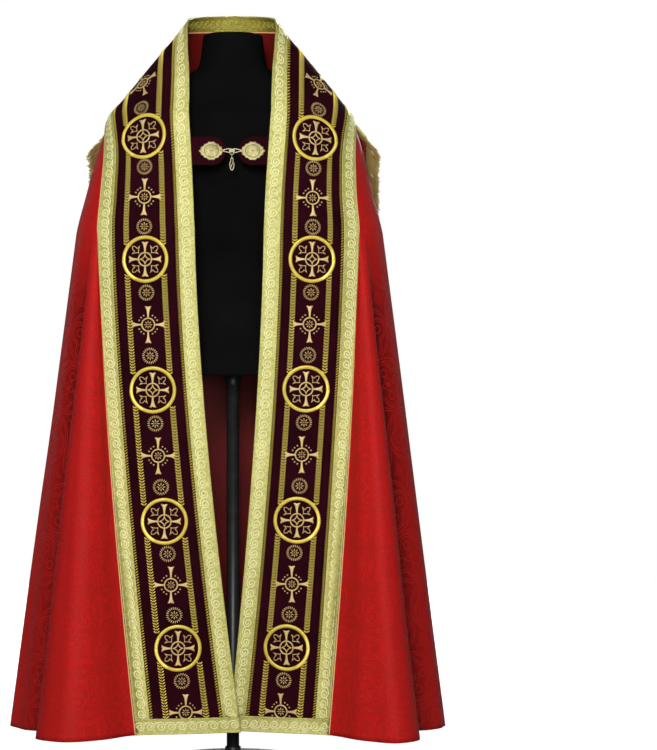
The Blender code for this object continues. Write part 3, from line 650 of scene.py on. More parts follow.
class Board:
    """A drawing board: a bmesh in flat places, laid on a cloth at the end."""

    def __init__(self) -> None:
        """Starts an empty board."""
        self.bm = bmesh.new()

    def mesh(self) -> Mesh:
        """The board's drawing as a mesh, and the board cleared."""
        return finished(self.bm, "drawing")

    def sheet(self, points: ndarray, wrap: bool = False, slot: int = 0) -> None:
        """Adds a grid of faces through rows of points.

        Args:
            points: Flat places in rows and columns.
            wrap: Whether the last column closes on the first.
            slot: The material's number.
        """
        if wrap:
            points = np.concatenate([points, points[:, :1]], axis=1)
        rows, columns = points.shape[:2]
        made = bmesh.ops.create_grid(self.bm, x_segments=columns - 1, y_segments=rows - 1, size=1.0)
        verts = made["verts"]
        for vert, place in zip(verts, points.reshape(-1, 3)):
            vert.co = place
        for face in {face for vert in verts for face in vert.link_faces}:
            face.material_index = slot
        if wrap:
            bmesh.ops.remove_doubles(self.bm, verts=verts, dist=MERGE)

    def loft(self, rings: ndarray, closed: bool = False, slot: int = 0) -> None:
        """Adds a closed skin through rings of points.

        Args:
            rings: Points in rows, one row for each ring; each ring closes on itself.
            closed: Whether the last ring runs on to the first. If not, both ends are capped.
            slot: The material's number.
        """
        rings = np.asarray(rings)
        if closed:
            rings = np.concatenate([rings, rings[:1]])
        else:
            caps = [
                np.broadcast_to(end.mean(axis=1, keepdims=True), end.shape)
                for end in (rings[:1], rings[-1:])
            ]
            rings = np.concatenate([caps[0], rings, caps[1]])
        self.sheet(rings, wrap=True, slot=slot)

    def stroke(self, path: FlatPath, profile: Sequence[Sequence[float]], slot: int = 0) -> None:
        """Draws a raised line.

        Args:
            path: The line.
            profile: The line's cut, as distances across and up.
            slot: The material's number.
        """
        across, up = np.array(profile, float).T
        run = path.run[:-1] if path.closed else path.run
        self.loft(lifted(path.at(run[:, None], across), up), path.closed, slot)

    def add(self, unit: Mesh, points: ndarray) -> None:
        """Draws copies of a unit.

        Args:
            unit: The unit.
            points: The places of its points, once for each copy.
        """
        points = points.reshape(-1, 3)
        mesh = joined(*[unit] * (len(points) // len(unit.vertices)))
        put(mesh, points)
        self.bm.from_mesh(mesh)
        bpy.data.meshes.remove(mesh)

    def set_down(self, unit: Mesh, move: Sequence[float]) -> None:
        """Draws a unit once, moved."""
        self.add(unit, coordinates(unit) + move)

    def run_units(self, path: FlatPath, unit: Mesh, pitch: float, lift: float,
                  flip: int = 1, gaps: Sequence[tuple[float, float]] = ()) -> None:
        """Repeats a unit along a line, bent with it.

        Args:
            path: The line.
            unit: The unit, drawn along x with y to its left.
            pitch: How far apart the units are.
            lift: How far above the cloth's base the unit's own zero is.
            flip: 1, or -1 to turn the units over across the line.
            gaps: Stretches of the line that stay bare.
        """
        count = max(1, round(path.length / pitch))
        middles = (np.arange(count) + 0.5) * path.length / count
        for low, high in gaps:
            middles = middles[(middles < low) | (middles > high)]
        x, y, z = coordinates(unit).T
        self.add(unit, lifted(path.at(x + middles[:, None], flip * y), z + lift))

    def scatter(self, unit: Mesh, centres: ndarray, turns: Sequence[float],
                lift: float = 0.0) -> None:
        """Repeats a unit round a drawing.

        Args:
            unit: The unit.
            centres: Where the middle of each copy goes.
            turns: Degrees that each copy is turned by.
            lift: How far each copy is moved up.
        """
        x, y, z = coordinates(unit).T
        angle = np.radians(np.asarray(turns, float))[:, None]
        c, s = np.cos(angle), np.sin(angle)
        across, along = x * c - y * s + centres[:, :1], x * s + y * c + centres[:, 1:]
        self.add(unit, places(across, along, z + lift))

    def raise_last(self, count: int, lift: float) -> None:
        """Moves the last points up, in the order that the drawing stores them."""
        self.bm.verts.ensure_lookup_table()
        for vert in self.bm.verts[-count:]:
            vert.co.z += lift

    def laid(self, cloth: ClothMap, flip: int = 1, move: Sequence[float] = (0.0, 0.0, 0.0)) -> Mesh:
        """Lays the drawing on its cloth.

        Args:
            cloth: The cloth that it lies on.
            flip: 1, or -1 to turn the drawing over across the cloth.
            move: How far the drawing is moved on the cloth.

        Returns:
            The mesh in its place, with its flat places as UVs.
        """
        mesh = self.mesh()
        flat = coordinates(mesh) * (flip, 1, 1) + move
        write_uv(mesh, flat)
        put(mesh, cloth.place(flat))
        return mesh


@dataclass
class Piece:
    """One finished piece: its finishes, its slot name (not used), its CAD nodes and its body."""

    name: str
    slot: str
    finishes: Sequence[Finish]
    nodes: Sequence[str] = ()
    body: str = WORN

    def make(self, mesh: Mesh, closed: bool = True) -> Object:
        """Makes the object and ties it to the frame.

        Args:
            mesh: The piece's mesh, in the frame's place.
            closed: Whether the faces close, so that they can be turned outwards.

        Returns:
            The object.
        """
        if closed:
            bm = bmesh.new()
            bm.from_mesh(mesh)
            bmesh.ops.recalc_face_normals(bm, faces=bm.faces)
            bm.to_mesh(mesh)
            bm.free()
        mesh.name = self.name
        for finish in self.finishes:
            mesh.materials.append(finish.material())
        mesh.shade_smooth()
        made = bpy.data.objects.new(self.name, mesh)
        bpy.context.scene.collection.objects.link(made)
        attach(made, self.body)
        if self.nodes:
            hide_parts(*self.nodes)
        LOG.info("%s: %d faces", self.name, len(mesh.polygons))
        return made

    def lay(self, board: Board, cloth: ClothMap, *where: object) -> Object:
        """Makes the object from a drawing laid on its cloth."""
        return self.make(board.laid(cloth, *where))

    def hang(self, mesh: Mesh, facing: ndarray, wall: float = CLOTH_WALL) -> Object:
        """Makes an open sheet with a wall, whose inner face takes the last finish.

        Args:
            mesh: The sheet's mesh.
            facing: The way that its points face, or that they all do.
            wall: The wall's thickness, taken inwards.

        Returns:
            The object.
        """
        if (values(mesh.vertices, "normal") * np.reshape(facing, (-1, 3))).sum() < 0:
            mesh.flip_normals()
        made = self.make(mesh, closed=False)
        solid = made.modifiers.new("wall", "SOLIDIFY")
        solid.thickness = wall
        solid.offset = -1
        solid.material_offset = len(self.finishes) - 1
        return made


def grid_mesh(points: ndarray, flat: ndarray) -> Mesh:
    """An open sheet through a grid of points, with its flat places as UVs."""
    board = Board()
    board.sheet(points)
    mesh = board.mesh()
    write_uv(mesh, flat.reshape(-1, flat.shape[-1]))
    return mesh


# Finishes.


class Graph:
    """A node tree, with short calls for the nodes that the finishes and the studio need."""

    def __init__(self, owner: Material | World) -> None:
        """Starts the nodes of a material, with its Principled shader, or of a world."""
        owner.use_nodes = True
        self.tree = owner.node_tree
        self.shader = self.tree.nodes.get("Principled BSDF")

    def node(self, kind: str, inputs: dict | None = None, **settings: object) -> Node:
        """Adds a node.

        Args:
            kind: The node's type.
            inputs: What its sockets take, by name or number.
            settings: Its own settings.

        Returns:
            The node.
        """
        made = self.tree.nodes.new(kind)
        for name, value in settings.items():
            setattr(made, name, value)
        for socket, value in (inputs or {}).items():
            self.feed(made.inputs[socket], value)
        return made

    def feed(self, socket: NodeSocket, value: object) -> None:
        """Sets a socket to a value, or links another node's output to it.

        Args:
            socket: The socket that takes it.
            value: A number, a colour or an output.
        """
        if isinstance(value, NodeSocket):
            self.tree.links.new(value, socket)
        elif isinstance(value, tuple) and len(value) == 3 and socket.type == "RGBA":
            socket.default_value = (*value, 1.0)
        else:
            socket.default_value = value

    def math(self, operation: str, *values: object) -> NodeSocket:
        """The result of one Math node."""
        return self.node("ShaderNodeMath", dict(enumerate(values)), operation=operation).outputs[0]

    def times(self, a: object, b: object) -> NodeSocket:
        """Two values multiplied."""
        return self.math("MULTIPLY", a, b)

    def plus(self, a: object, b: object) -> NodeSocket:
        """Two values added."""
        return self.math("ADD", a, b)

    def minus(self, a: object, b: object) -> NodeSocket:
        """One value less another."""
        return self.math("SUBTRACT", a, b)

    def blend(self, a: object, share: object, b: object) -> NodeSocket:
        """A value times a share, plus another."""
        return self.math("MULTIPLY_ADD", a, share, b)

    def mix(self, share: object, low: object, high: object) -> NodeSocket:
        """Two colours mixed by a share."""
        return self.node("ShaderNodeMix", {0: share, 6: low, 7: high}, data_type="RGBA").outputs[2]

    def where(self, kind: str = "Object") -> NodeSocket:
        """The places that one kind of coordinate gives."""
        return self.node("ShaderNodeTexCoord").outputs[kind]

    def split(self, place: NodeSocket) -> Sequence[NodeSocket]:
        """The three numbers of a place or colour."""
        return self.node("ShaderNodeSeparateXYZ", {0: place}).outputs

    def noise(self, scale: float, detail: float = 2.0) -> NodeSocket:
        """A noise's value over the object."""
        inputs = {"Vector": self.where(), "Scale": scale, "Detail": detail}
        return self.node("ShaderNodeTexNoise", inputs).outputs["Fac"]

    def reach(self, x: object, y: object) -> NodeSocket:
        """How far a place is from zero."""
        return self.math("SQRT", self.plus(self.times(x, x), self.times(y, y)))

    def ripple(self, place: object, pitch: float) -> NodeSocket:
        """A wave from -1 to 1 along one direction, once in each pitch."""
        return self.math("SINE", self.times(place, 2 * math.pi / pitch))

    def spread(self, value: object, low: float, high: float) -> NodeSocket:
        """A value moved from the stretch low to high onto 0 to 1."""
        return self.node("ShaderNodeMapRange", {0: value, 1: low, 2: high}).outputs[0]

    def bump(self, height: object, strength: float, distance: float) -> None:
        """Roughens the surface by a height."""
        inputs = {"Strength": strength, "Distance": distance, "Height": height}
        self.feed(self.shader.inputs["Normal"], self.node("ShaderNodeBump", inputs).outputs[0])

    def finish(self, colour: object, roughness: object, **fixed: object) -> None:
        """Sets the shader's sockets by name, with underscores for spaces."""
        for name, value in {"Base_Color": colour, "Roughness": roughness, **fixed}.items():
            self.feed(self.shader.inputs[name.replace("_", " ")], value)


@dataclass(frozen=True)
class Finish:
    """A material, made once when a piece first needs it."""

    name: str

    @cache
    def material(self) -> Material:
        """The finish's material."""
        made = bpy.data.materials.new(self.name)
        self.draw(Graph(made))
        return made

    def draw(self, g: Graph) -> None:
        """Draws the finish's nodes; each kind of finish has its own."""
        raise NotImplementedError


@dataclass(frozen=True)
class Damask(Finish):
    """Red silk with tone-on-tone rings on a square grid, each round a four-lobed flower, with
    painted shade in the fold hollows.

    Each line of the figure is its middle and half its width, in cells.
    """

    name: str = "red_damask"
    ground: tuple = (0.520, 0.0115, 0.0095)
    figure: tuple = (0.330, 0.0100, 0.0085)
    # The colour of the painted shade in the fold hollows.
    hollow: tuple = (0.100, 0.0030, 0.0026)
    cell: float = 0.109
    lobe_centre: float = 0.225
    rings: tuple = ((0.484, 0.014), (0.438, 0.009), (0.030, 0.022))
    lobes: tuple = ((0.200, 0.015), (0.152, 0.010))
    petals: tuple = ((0.070, 0.012),)
    fillers: tuple = ((0.47, 0.030), (0.30, 0.050))

    def draw(self, g: Graph) -> None:
        """Draws the figure over the flat cloth, and the painted shade of the fold hollows.

        Args:
            g: The material's nodes.
        """
        u, v, _ = g.split(g.where("UV"))
        cells = (g.plus(g.math("DIVIDE", place, self.cell), 100.0) for place in (u, v))
        x, y = (g.minus(g.math("FRACT", cell), 0.5) for cell in cells)
        wide, high = (g.math("ABSOLUTE", place) for place in (x, y))
        radius = g.reach(x, y)
        lobe_out = g.minus(g.math("MAXIMUM", wide, high), self.lobe_centre)
        lobe = g.reach(lobe_out, g.math("MINIMUM", wide, high))
        waves = g.math("ABSOLUTE", g.math("COSINE", g.times(g.math("ARCTAN2", y, x), 2.0)))
        figure = g.math("COMPARE", radius, g.blend(waves, 0.075, 0.055), 0.012)
        outer = g.math("GREATER_THAN", lobe_out, -0.045)
        for middle, half in self.lobes:
            arc = g.times(outer, g.math("COMPARE", lobe, middle, half))
            figure = g.math("MAXIMUM", figure, arc)
        spread = g.plus(*(g.math("SQRT", g.minus(0.5, place)) for place in (wide, high)))
        for line, bands in ((radius, self.rings), (lobe, self.petals), (spread, self.fillers)):
            for middle, half in bands:
                figure = g.math("MAXIMUM", figure, g.math("COMPARE", line, middle, half))
        crepe = g.noise(1300.0, 1.0)
        twill = g.ripple(g.plus(u, v), 0.0011)
        height = g.plus(g.times(figure, 0.8), g.blend(twill, 0.15, crepe))
        g.bump(height, 0.45, 0.0003)
        cloudy = g.times(g.spread(g.noise(9.0, 3.0), 0.3, 0.7), 0.3)
        cloudy = g.blend(g.spread(g.noise(330.0, 2.0), 0.35, 0.65), 0.7, cloudy)
        base = g.mix(cloudy, self.ground, tuple(0.68 * c for c in self.ground))
        # Painted shade: the mesh's fold-shade attribute mixes the ground towards the dark hollow
        # colour in the folds' valleys.
        depth = g.node("ShaderNodeAttribute", attribute_name=FOLD_SHADE).outputs["Fac"]
        base = g.mix(depth, base, self.hollow)
        # The figure is laid over the painted shade, so its lines stay lighter in the hollows:
        # painted sheen there, and the figure's own darker tone on the lit cloth.
        colour = g.mix(g.times(figure, 0.8), base, self.figure)
        rough = g.blend(figure, -0.14, 0.64)
        g.finish(colour, rough, Specular_IOR_Level=0.07)


@dataclass(frozen=True)
class Velvet(Finish):
    """Dark pile with a faint sheen at grazing angles, and patches of lighter and darker colour
    painted in for the sheen of nap that leans in patches.
    """

    name: str = "dark_velvet"
    deep: tuple = (0.0100, 0.0005, 0.0020)
    light: tuple = (0.0250, 0.0011, 0.0052)

    def draw(self, g: Graph) -> None:
        """Draws the pile.

        Args:
            g: The material's nodes.
        """
        # Painted sheen: the large patches lighten and darken the colour as leaning nap would catch
        # the light; the fine pile noise is the pile's own grain.
        nap = g.spread(g.noise(14.0, 4.0), 0.32, 0.68)
        pile = g.noise(1500.0, 1.0)
        g.bump(pile, 0.35, 0.0004)
        share = g.blend(pile, 0.35, g.times(nap, 0.65))
        colour = g.mix(share, self.deep, self.light)
        g.finish(colour, 0.88, Sheen_Weight=0.02, Sheen_Roughness=0.40,
                 Sheen_Tint=(0.45, 0.10, 0.22, 1.0), Specular_IOR_Level=0.05)


@dataclass(frozen=True)
class GoldWeave(Finish):
    """Metal thread woven flat, with a dotted ground, threads of uneven roughness and painted glints
    of lighter colour.
    """

    ground: tuple
    light: tuple
    dots: float = 0.0021
    metallic: float = 0.30
    roughness: float = 0.42

    def draw(self, g: Graph) -> None:
        """Draws the weave over the flat cloth.

        Args:
            g: The material's nodes.
        """
        u, v, _ = g.split(g.where("UV"))
        warp = g.ripple(u, 0.0009)
        weft = g.ripple(v, 0.0011)
        weave = g.times(warp, weft)
        dot_u = g.ripple(g.plus(u, v), self.dots)
        dot_v = g.ripple(g.minus(u, v), self.dots)
        dots = g.spread(g.plus(dot_u, dot_v), 0.4, 1.4)
        height = g.blend(dots, 0.7, g.times(weave, 0.5))
        g.bump(height, 0.55, 0.0003)
        # Painted glints: random cells lighten the colour as flecks of glinting thread, and the same
        # cells vary the roughness.
        glint = g.node("ShaderNodeTexVoronoi", {"Vector": g.where(), "Scale": 430.0})
        spark = g.split(glint.outputs["Color"])
        patch = g.spread(g.noise(26.0, 3.0), 0.3, 0.7)
        share = g.times(spark[0], 0.55)
        share = g.blend(dots, 0.25, g.blend(patch, 0.2, share))
        colour = g.mix(share, self.ground, self.light)
        rough = g.blend(spark[1], 0.16, self.roughness - 0.08)
        g.finish(colour, rough, Metallic=self.metallic, Specular_IOR_Level=0.5)


@dataclass(frozen=True)
class Thread(Finish):
    """Embroidery or cord laid in close strands."""

    dark: tuple
    light: tuple
    strand: float = 0.0009
    metallic: float = 0.30
    roughness: float = 0.42
    sheen: float = 0.0

    def draw(self, g: Graph) -> None:
        """Draws the strands, in the object's own space.

        Args:
            g: The material's nodes.
        """
        grain = g.noise(1.0 / self.strand, 2.0)
        patch = g.spread(g.noise(45.0, 2.0), 0.3, 0.7)
        g.bump(grain, 0.6, 0.0005)
        share = g.blend(g.spread(grain, 0.35, 0.65), 0.6, g.times(patch, 0.4))
        colour = g.mix(share, self.dark, self.light)
        g.finish(colour, self.roughness, Metallic=self.metallic, Sheen_Weight=self.sheen,
                 Specular_IOR_Level=0.25)


@dataclass(frozen=True)
class Satin(Finish):
    """Plain smooth cloth with a fine twill."""

    dark: tuple
    light: tuple
    roughness: float = 0.45
    rib: float = 0.0012
    sheen: float = 0.3
    gloss: float = 0.2

    def draw(self, g: Graph) -> None:
        """Draws the twill, in the object's own space.

        Args:
            g: The material's nodes.
        """
        x, _, z = g.split(g.where())
        twill, weft = g.ripple(g.plus(x, z), self.rib), g.ripple(g.minus(z, x), self.rib)
        g.bump(g.times(twill, weft), 0.25, 0.0002)
        colour = g.mix(g.spread(g.noise(7.0, 3.0), 0.3, 0.7), self.dark, self.light)
        g.finish(colour, self.roughness, Sheen_Weight=self.sheen, Sheen_Roughness=0.4,
                 Specular_IOR_Level=self.gloss)


@dataclass(frozen=True)
class Metal(Finish):
    """Polished or painted metal with faint unevenness."""

    dark: tuple
    light: tuple
    metallic: float = 1.0
    roughness: float = 0.28
    scale: float = 420.0

    def draw(self, g: Graph) -> None:
        """Draws the metal's unevenness.

        Args:
            g: The material's nodes.
        """
        grain = g.noise(self.scale, 3.0)
        g.bump(grain, 0.22, 0.0004)
        worn = g.spread(g.noise(60.0, 3.0), 0.3, 0.7)
        rough = g.blend(grain, 0.14, self.roughness - 0.07)
        g.finish(g.mix(worn, self.dark, self.light), rough, Metallic=self.metallic)


RIBBON = (
    GoldWeave("gold_ribbon", (0.34, 0.31, 0.05), (0.76, 0.73, 0.28)),
    GoldWeave("scroll_thread", (0.74, 0.72, 0.30), (0.95, 0.93, 0.55), 0.0016, 0.10, 0.40),
)
PIPING = Thread("peach_piping", (0.72, 0.36, 0.11), (0.90, 0.58, 0.24), 0.0012, 0.0, 0.55, 0.3)
# Darker copies of the gold ribbon: painted shade for the facing that turns in at the neck.
SHADED_RIBBON = (
    GoldWeave("olive_gold_ribbon", (0.13, 0.105, 0.003), (0.58, 0.50, 0.06)),
    GoldWeave("olive_scroll_thread", (0.34, 0.30, 0.035), (0.68, 0.62, 0.17)),
)
STITCHES = (
    Thread("bright_gold_thread", (0.46, 0.34, 0.018), (0.76, 0.62, 0.085)),
    Thread("pale_gold_thread", (0.50, 0.34, 0.11), (0.78, 0.60, 0.26)),
    Thread("wheat_gold_thread", (0.86, 0.60, 0.055), (1.0, 0.86, 0.21)),
)
FRINGE = (
    Thread("fringe_thread", (0.42, 0.31, 0.095), (0.74, 0.60, 0.27), 0.0011, 0.0, 0.50),
    Thread("fringe_thread_dark", (0.26, 0.17, 0.045), (0.50, 0.37, 0.130), 0.0011, 0.0, 0.55),
)
LINING = Satin("dark_red_lining", (0.130, 0.006, 0.006), (0.20, 0.010, 0.009), sheen=0.0)
LINED_DAMASK = (Damask(), LINING)
LINED_VELVET = (Velvet(), LINING)
GILT = Metal("gilt_wire", (0.36, 0.32, 0.19), (0.58, 0.53, 0.36), roughness=0.40)
FILIGREE = Metal("filigree", (0.30, 0.265, 0.115), (0.50, 0.455, 0.23), roughness=0.60)
JERSEY = Satin(
    "black_jersey", (0.0020, 0.0020, 0.0022), (0.004, 0.004, 0.0043), 0.85, sheen=0.0, gloss=0.04
)
PAINT = Metal("black_paint", (0.012, 0.012, 0.013), (0.02, 0.02, 0.021), 0.0, 0.4)


# Stitched ornaments.


def bowed(*bow: Sequence[float], count: int) -> ndarray:
    """Places along a bow from its start towards its hold and on to its end, which is left out."""
    t = np.linspace(0, 1, count + 1)[:-1, None]
    start, hold, end = np.array(bow, float)
    return (1 - t) ** 2 * start + 2 * t * (1 - t) * hold + t**2 * end


@dataclass(frozen=True)
class Arm:
    """One flared arm of a cross: its start, end, half widths, padding and scallops."""

    start: float
    end: float
    neck: float
    tip: float
    height: float = 0.0013
    scallops: int = 2

    def half(self, share: object) -> ndarray:
        """Half the arm's width, at shares of its length."""
        return self.neck + (self.tip - self.neck) * (0.18 * share + 0.82 * share**3.2)

    def draw(self, board: Board, degrees: float, slot: int) -> None:
        """Draws the arm.

        Args:
            board: Where the arm is drawn.
            degrees: Which way the arm points.
            slot: The material's number.
        """
        share = np.linspace(0, 1, 11)
        scallop = 0.22 * self.tip
        ring = []
        for across in (-1, *np.linspace(1, -1, 4 * self.scallops + 1)[:-1]):
            up = 0.0 if across == -1 else min(1.0, 4 * (1 - abs(across)))
            lobe = abs(math.sin(math.pi * self.scallops * (across + 1) / 2)) ** 0.8
            reach = self.end - self.start - scallop + scallop * lobe + 0.20 * self.tip * across**4
            line = places(self.start + reach * share, self.half(share) * across)
            ring.append(lifted(turned(line, degrees), self.height * up))
        rings = np.stack(ring, axis=1)
        board.loft(np.concatenate([rings, rings[-1:] * (1, 1, 0)]), slot=slot)


class Motifs:
    """The stitched ornaments: rings, crosses, rosettes, leaf sprays and the running scroll."""

    QUARTERS = (0.0, 90.0, 180.0, 270.0)

    @staticmethod
    def leaf(size: float, degrees: float, centre: Sequence[float]) -> ndarray:
        """The outline of a three-pointed leaf spray that opens away from the middle.

        Args:
            size: The leaf's length.
            degrees: Which way it points.
            centre: Where its middle is.

        Returns:
            Flat places round the leaf.
        """
        base, tip, notch = (-0.50, 0.0), (0.0, 0.66), (0.03, 0.20)
        crown, shoulder = (0.58, 0.0), (0.33, 0.22)
        right = np.concatenate([
            bowed(base, (-0.16, 0.20), tip, count=6),
            bowed(tip, (-0.04, 0.36), notch, count=5),
            bowed(notch, (0.15, 0.27), shoulder, count=4),
            bowed(shoulder, (0.47, 0.17), crown, count=4),
        ])
        outline = np.concatenate([right, [crown], right[:0:-1] * (1, -1)])
        return turned(outline * size, degrees, centre)

    def sprays(self, board: Board, radius: float, *lines: tuple[float, float, float, int]) -> None:
        """Draws four leaf sprays between the arms.

        Args:
            board: Where they are drawn.
            radius: How far their middles are from the middle of the cross.
            lines: The size, width, height and slot of each of their lines.
        """
        for quarter in self.QUARTERS:
            centre = on_ring(radius, quarter + 45.0)
            for size, width, high, slot in lines:
                outline = FlatPath(self.leaf(size, quarter + 45.0, centre), closed=True)
                board.stroke(outline, cut(width, high), slot)

    def star(self, board: Board, radius: float, width: float, high: float, slot: int) -> None:
        """Draws a four-pointed star with hollow sides.

        Args:
            board: Where it is drawn.
            radius: How far its points reach.
            width: The line's width.
            high: The line's height.
            slot: The material's number.
        """
        plan = ((1.0, 0), (0.22, 45), (1.0, 90))
        sides = [
            bowed(*(on_ring(radius * size, quarter + turn) for size, turn in plan), count=5)
            for quarter in self.QUARTERS
        ]
        board.stroke(FlatPath(np.concatenate(sides), closed=True), cut(width, high), slot)

    def small_cross(self, board: Board, tall: Arm, wide: float, ring: float) -> None:
        """Draws a small cross of four flared arms round a ring.

        Args:
            board: Where it is drawn.
            tall: Its arms along the band.
            wide: The end of its arms across the band.
            ring: The ring's radius.
        """
        for k, quarter in enumerate(self.QUARTERS):
            (tall if k % 2 else replace(tall, end=wide)).draw(board, quarter, Stitch.PALE)
        board.stroke(circle(ring, 32), cut(0.0030, 0.0013), Stitch.PALE)

    def flower(self, board: Board, radius: float) -> None:
        """Draws eight small petals round a bead."""
        petal = grain(radius * 0.70, radius * 0.26, 0.0008, slot=Stitch.PALE)
        board.scatter(petal, on_ring(radius * 0.64, steps(8)), steps(8))
        board.set_down(grain(radius * 0.3, radius * 0.3, 0.0008, slot=Stitch.PALE), (0, 0, 0))

    def rosette(self) -> Mesh:
        """A ring of short rays round a flower."""
        board, turns = Board(), steps(22)
        ray = grain(0.0062, 0.0023, 0.0009, slot=Stitch.PALE)
        board.scatter(ray, on_ring(0.0138, turns), turns + 10)
        self.flower(board, 0.0092)
        return board.mesh()

    def dotted_cross(self) -> Mesh:
        """A flared cross with a ringed flower at its middle and dots between its arms."""
        board = Board()
        self.small_cross(board, Arm(0.0135, 0.0365, 0.0016, 0.0072), 0.0330, 0.0128)
        self.flower(board, 0.0086)
        turns = np.add.outer(self.QUARTERS, (26.0, 45.0, 64.0)).ravel()
        dot = grain(0.0036, 0.0036, 0.0010, slot=Stitch.PALE)
        board.scatter(dot, on_ring(0.0200, turns), turns)
        return board.mesh()

    def medallion(self) -> Mesh:
        """A padded ring round a flared cross with a star at its middle and four leaf sprays."""
        board, radius, turns = Board(), 0.0434, steps(66)
        board.stroke(circle(radius, 72), cut(0.0074, 0.0014), Stitch.WHEAT)
        stitch = grain(0.0088, 0.0026, 0.0010, slot=Stitch.GOLD)
        board.scatter(stitch, on_ring(radius, turns), turns + 48.0)
        board.raise_last(len(stitch.vertices) * len(turns), 0.0015)
        self.small_cross(board, Arm(0.0140, 0.0345, 0.0017, 0.0076), 0.0325, 0.0132)
        self.star(board, 0.0098, 0.0022, 0.0010, Stitch.PALE)
        self.sprays(board, 0.0262, (0.0168, 0.0015, 0.0010, Stitch.PALE))
        return board.mesh()

    def great_cross(self) -> Mesh:
        """The hood's large cross, with its ring, star, leaf sprays and feathered arms."""
        board = Board()
        arm = Arm(0.0620, 0.1480, 0.0085, 0.0335, 0.0024, 3)
        for quarter in self.QUARTERS:
            arm.draw(board, quarter, Stitch.GOLD)
            self.feather(board, arm, quarter)
        board.stroke(circle(0.0566, 110), cut(0.0136, 0.0030), Stitch.GOLD)
        for radius in (0.0500, 0.0632):
            board.stroke(circle(radius, 110), cut(0.0014, 0.0026), Stitch.PALE)
        self.star(board, 0.0480, 0.0068, 0.0024, Stitch.GOLD)
        self.sprays(board, 0.1000, (0.0675, 0.0066, 0.0022, Stitch.GOLD),
                    (0.0735, 0.0013, 0.0017, Stitch.PALE))
        return board.mesh()

    @staticmethod
    def feather(board: Board, arm: Arm, angle: float) -> None:
        """Draws an arm's fan of raised stitches and the pale cord round its edge.

        Args:
            board: Where they are drawn.
            arm: The arm that they lie on.
            angle: Which way the arm points.
        """
        span = 0.0845
        share = np.linspace(0.02, 1, 15)
        lines = [(places(arm.start + span * share, sign * arm.half(share)), 0.0016, 0.0024)
                 for sign in (-1, 1)]
        lobes = np.linspace(-1, 1, 37)
        scallop = np.abs(np.sin(1.5 * math.pi * (lobes + 1))) ** 0.8
        rim = 0.1413 + 0.0074 * scallop + 0.0067 * lobes**4
        for line, width, high in (*lines, (places(rim, arm.tip * lobes), 0.0018, 0.0028)):
            board.stroke(FlatPath(turned(line, angle)), cut(width, high), Stitch.PALE)
        stitches = []
        for row, distance in enumerate(np.linspace(0.070, 0.139, 13)):
            reach = arm.half((distance - arm.start) / span)
            count = max(1, round(reach / 0.0042))
            for step in range(count):
                across = (step + 0.5) / count * reach * 0.86
                lean = 26.0 + 12.0 * across / arm.tip + 6.0 * (row % 2)
                stitches += [(distance, sign * across, sign * lean) for sign in (-1, 1)]
        stitches = np.array(stitches)
        unit = grain(0.0088, 0.0020, 0.0008, slot=Stitch.GOLD)
        board.scatter(unit, turned(stitches[:, :2], angle), stitches[:, 2] + angle)
        board.raise_last(len(unit.vertices) * len(stitches), 0.0020)

    @staticmethod
    def scroll() -> Mesh:
        """One wave of the running scroll, drawn along x about zero."""
        s = np.linspace(0, 1, 25)
        curl = on_ring(1.0, 300 - 600 * s) * (0.0083 * (1 - s) ** 0.72 + 0.0008)[:, None]
        lead = np.array([(0.0122, -0.0022), (0.0104, -0.0058), (0.0074, -0.0076)])
        board = Board()
        board.stroke(FlatPath(np.concatenate([lead, curl])), cut(0.0026, 0.0006, -0.0003), 1)
        return board.mesh()


@dataclass
class Trims:
    """The repeated trims, each drawn once and run along a line."""

    scroll_pitch: float = 0.0200
    rope_pitch: float = 0.0054
    wheat_pitch: float = 0.0057

    def __post_init__(self) -> None:
        """Draws the units."""
        self.scroll = Motifs.scroll()
        self.rope = grain(0.0084, 0.0024, 0.0012, turn=57.0)
        ears = [
            grain(0.0082, 0.0024, 0.0013, side * 52.0, (0.0, side * 0.0034), Stitch.WHEAT)
            for side in (-1, 1)
        ]
        self.wheat = joined(*ears, grain(0.0050, 0.0010, 0.0010, slot=Stitch.WHEAT))

    def galloon(self, board: Board, path: FlatPath, lift: float, flip: int = 1,
                width: float = GALLOON, wave: float = 1.0, rise: int = 1) -> None:
        """Draws a ribbon with its running scroll.

        Args:
            board: Where it is drawn.
            path: The ribbon's middle.
            lift: The height of its underside.
            flip: 1, or -1 to turn the scroll over.
            width: The ribbon's width.
            wave: The scroll's size.
            rise: 1 for a face turned out from the cloak, or -1 for one turned in.
        """
        top = lift + rise * 0.0010
        board.stroke(path, tape(width, lift, top))
        unit = joined(self.scroll)
        put(unit, coordinates(unit) * (wave, wave, rise))
        board.run_units(path, unit, self.scroll_pitch * wave, top - rise * 0.00005, flip)


# The garment's parts.


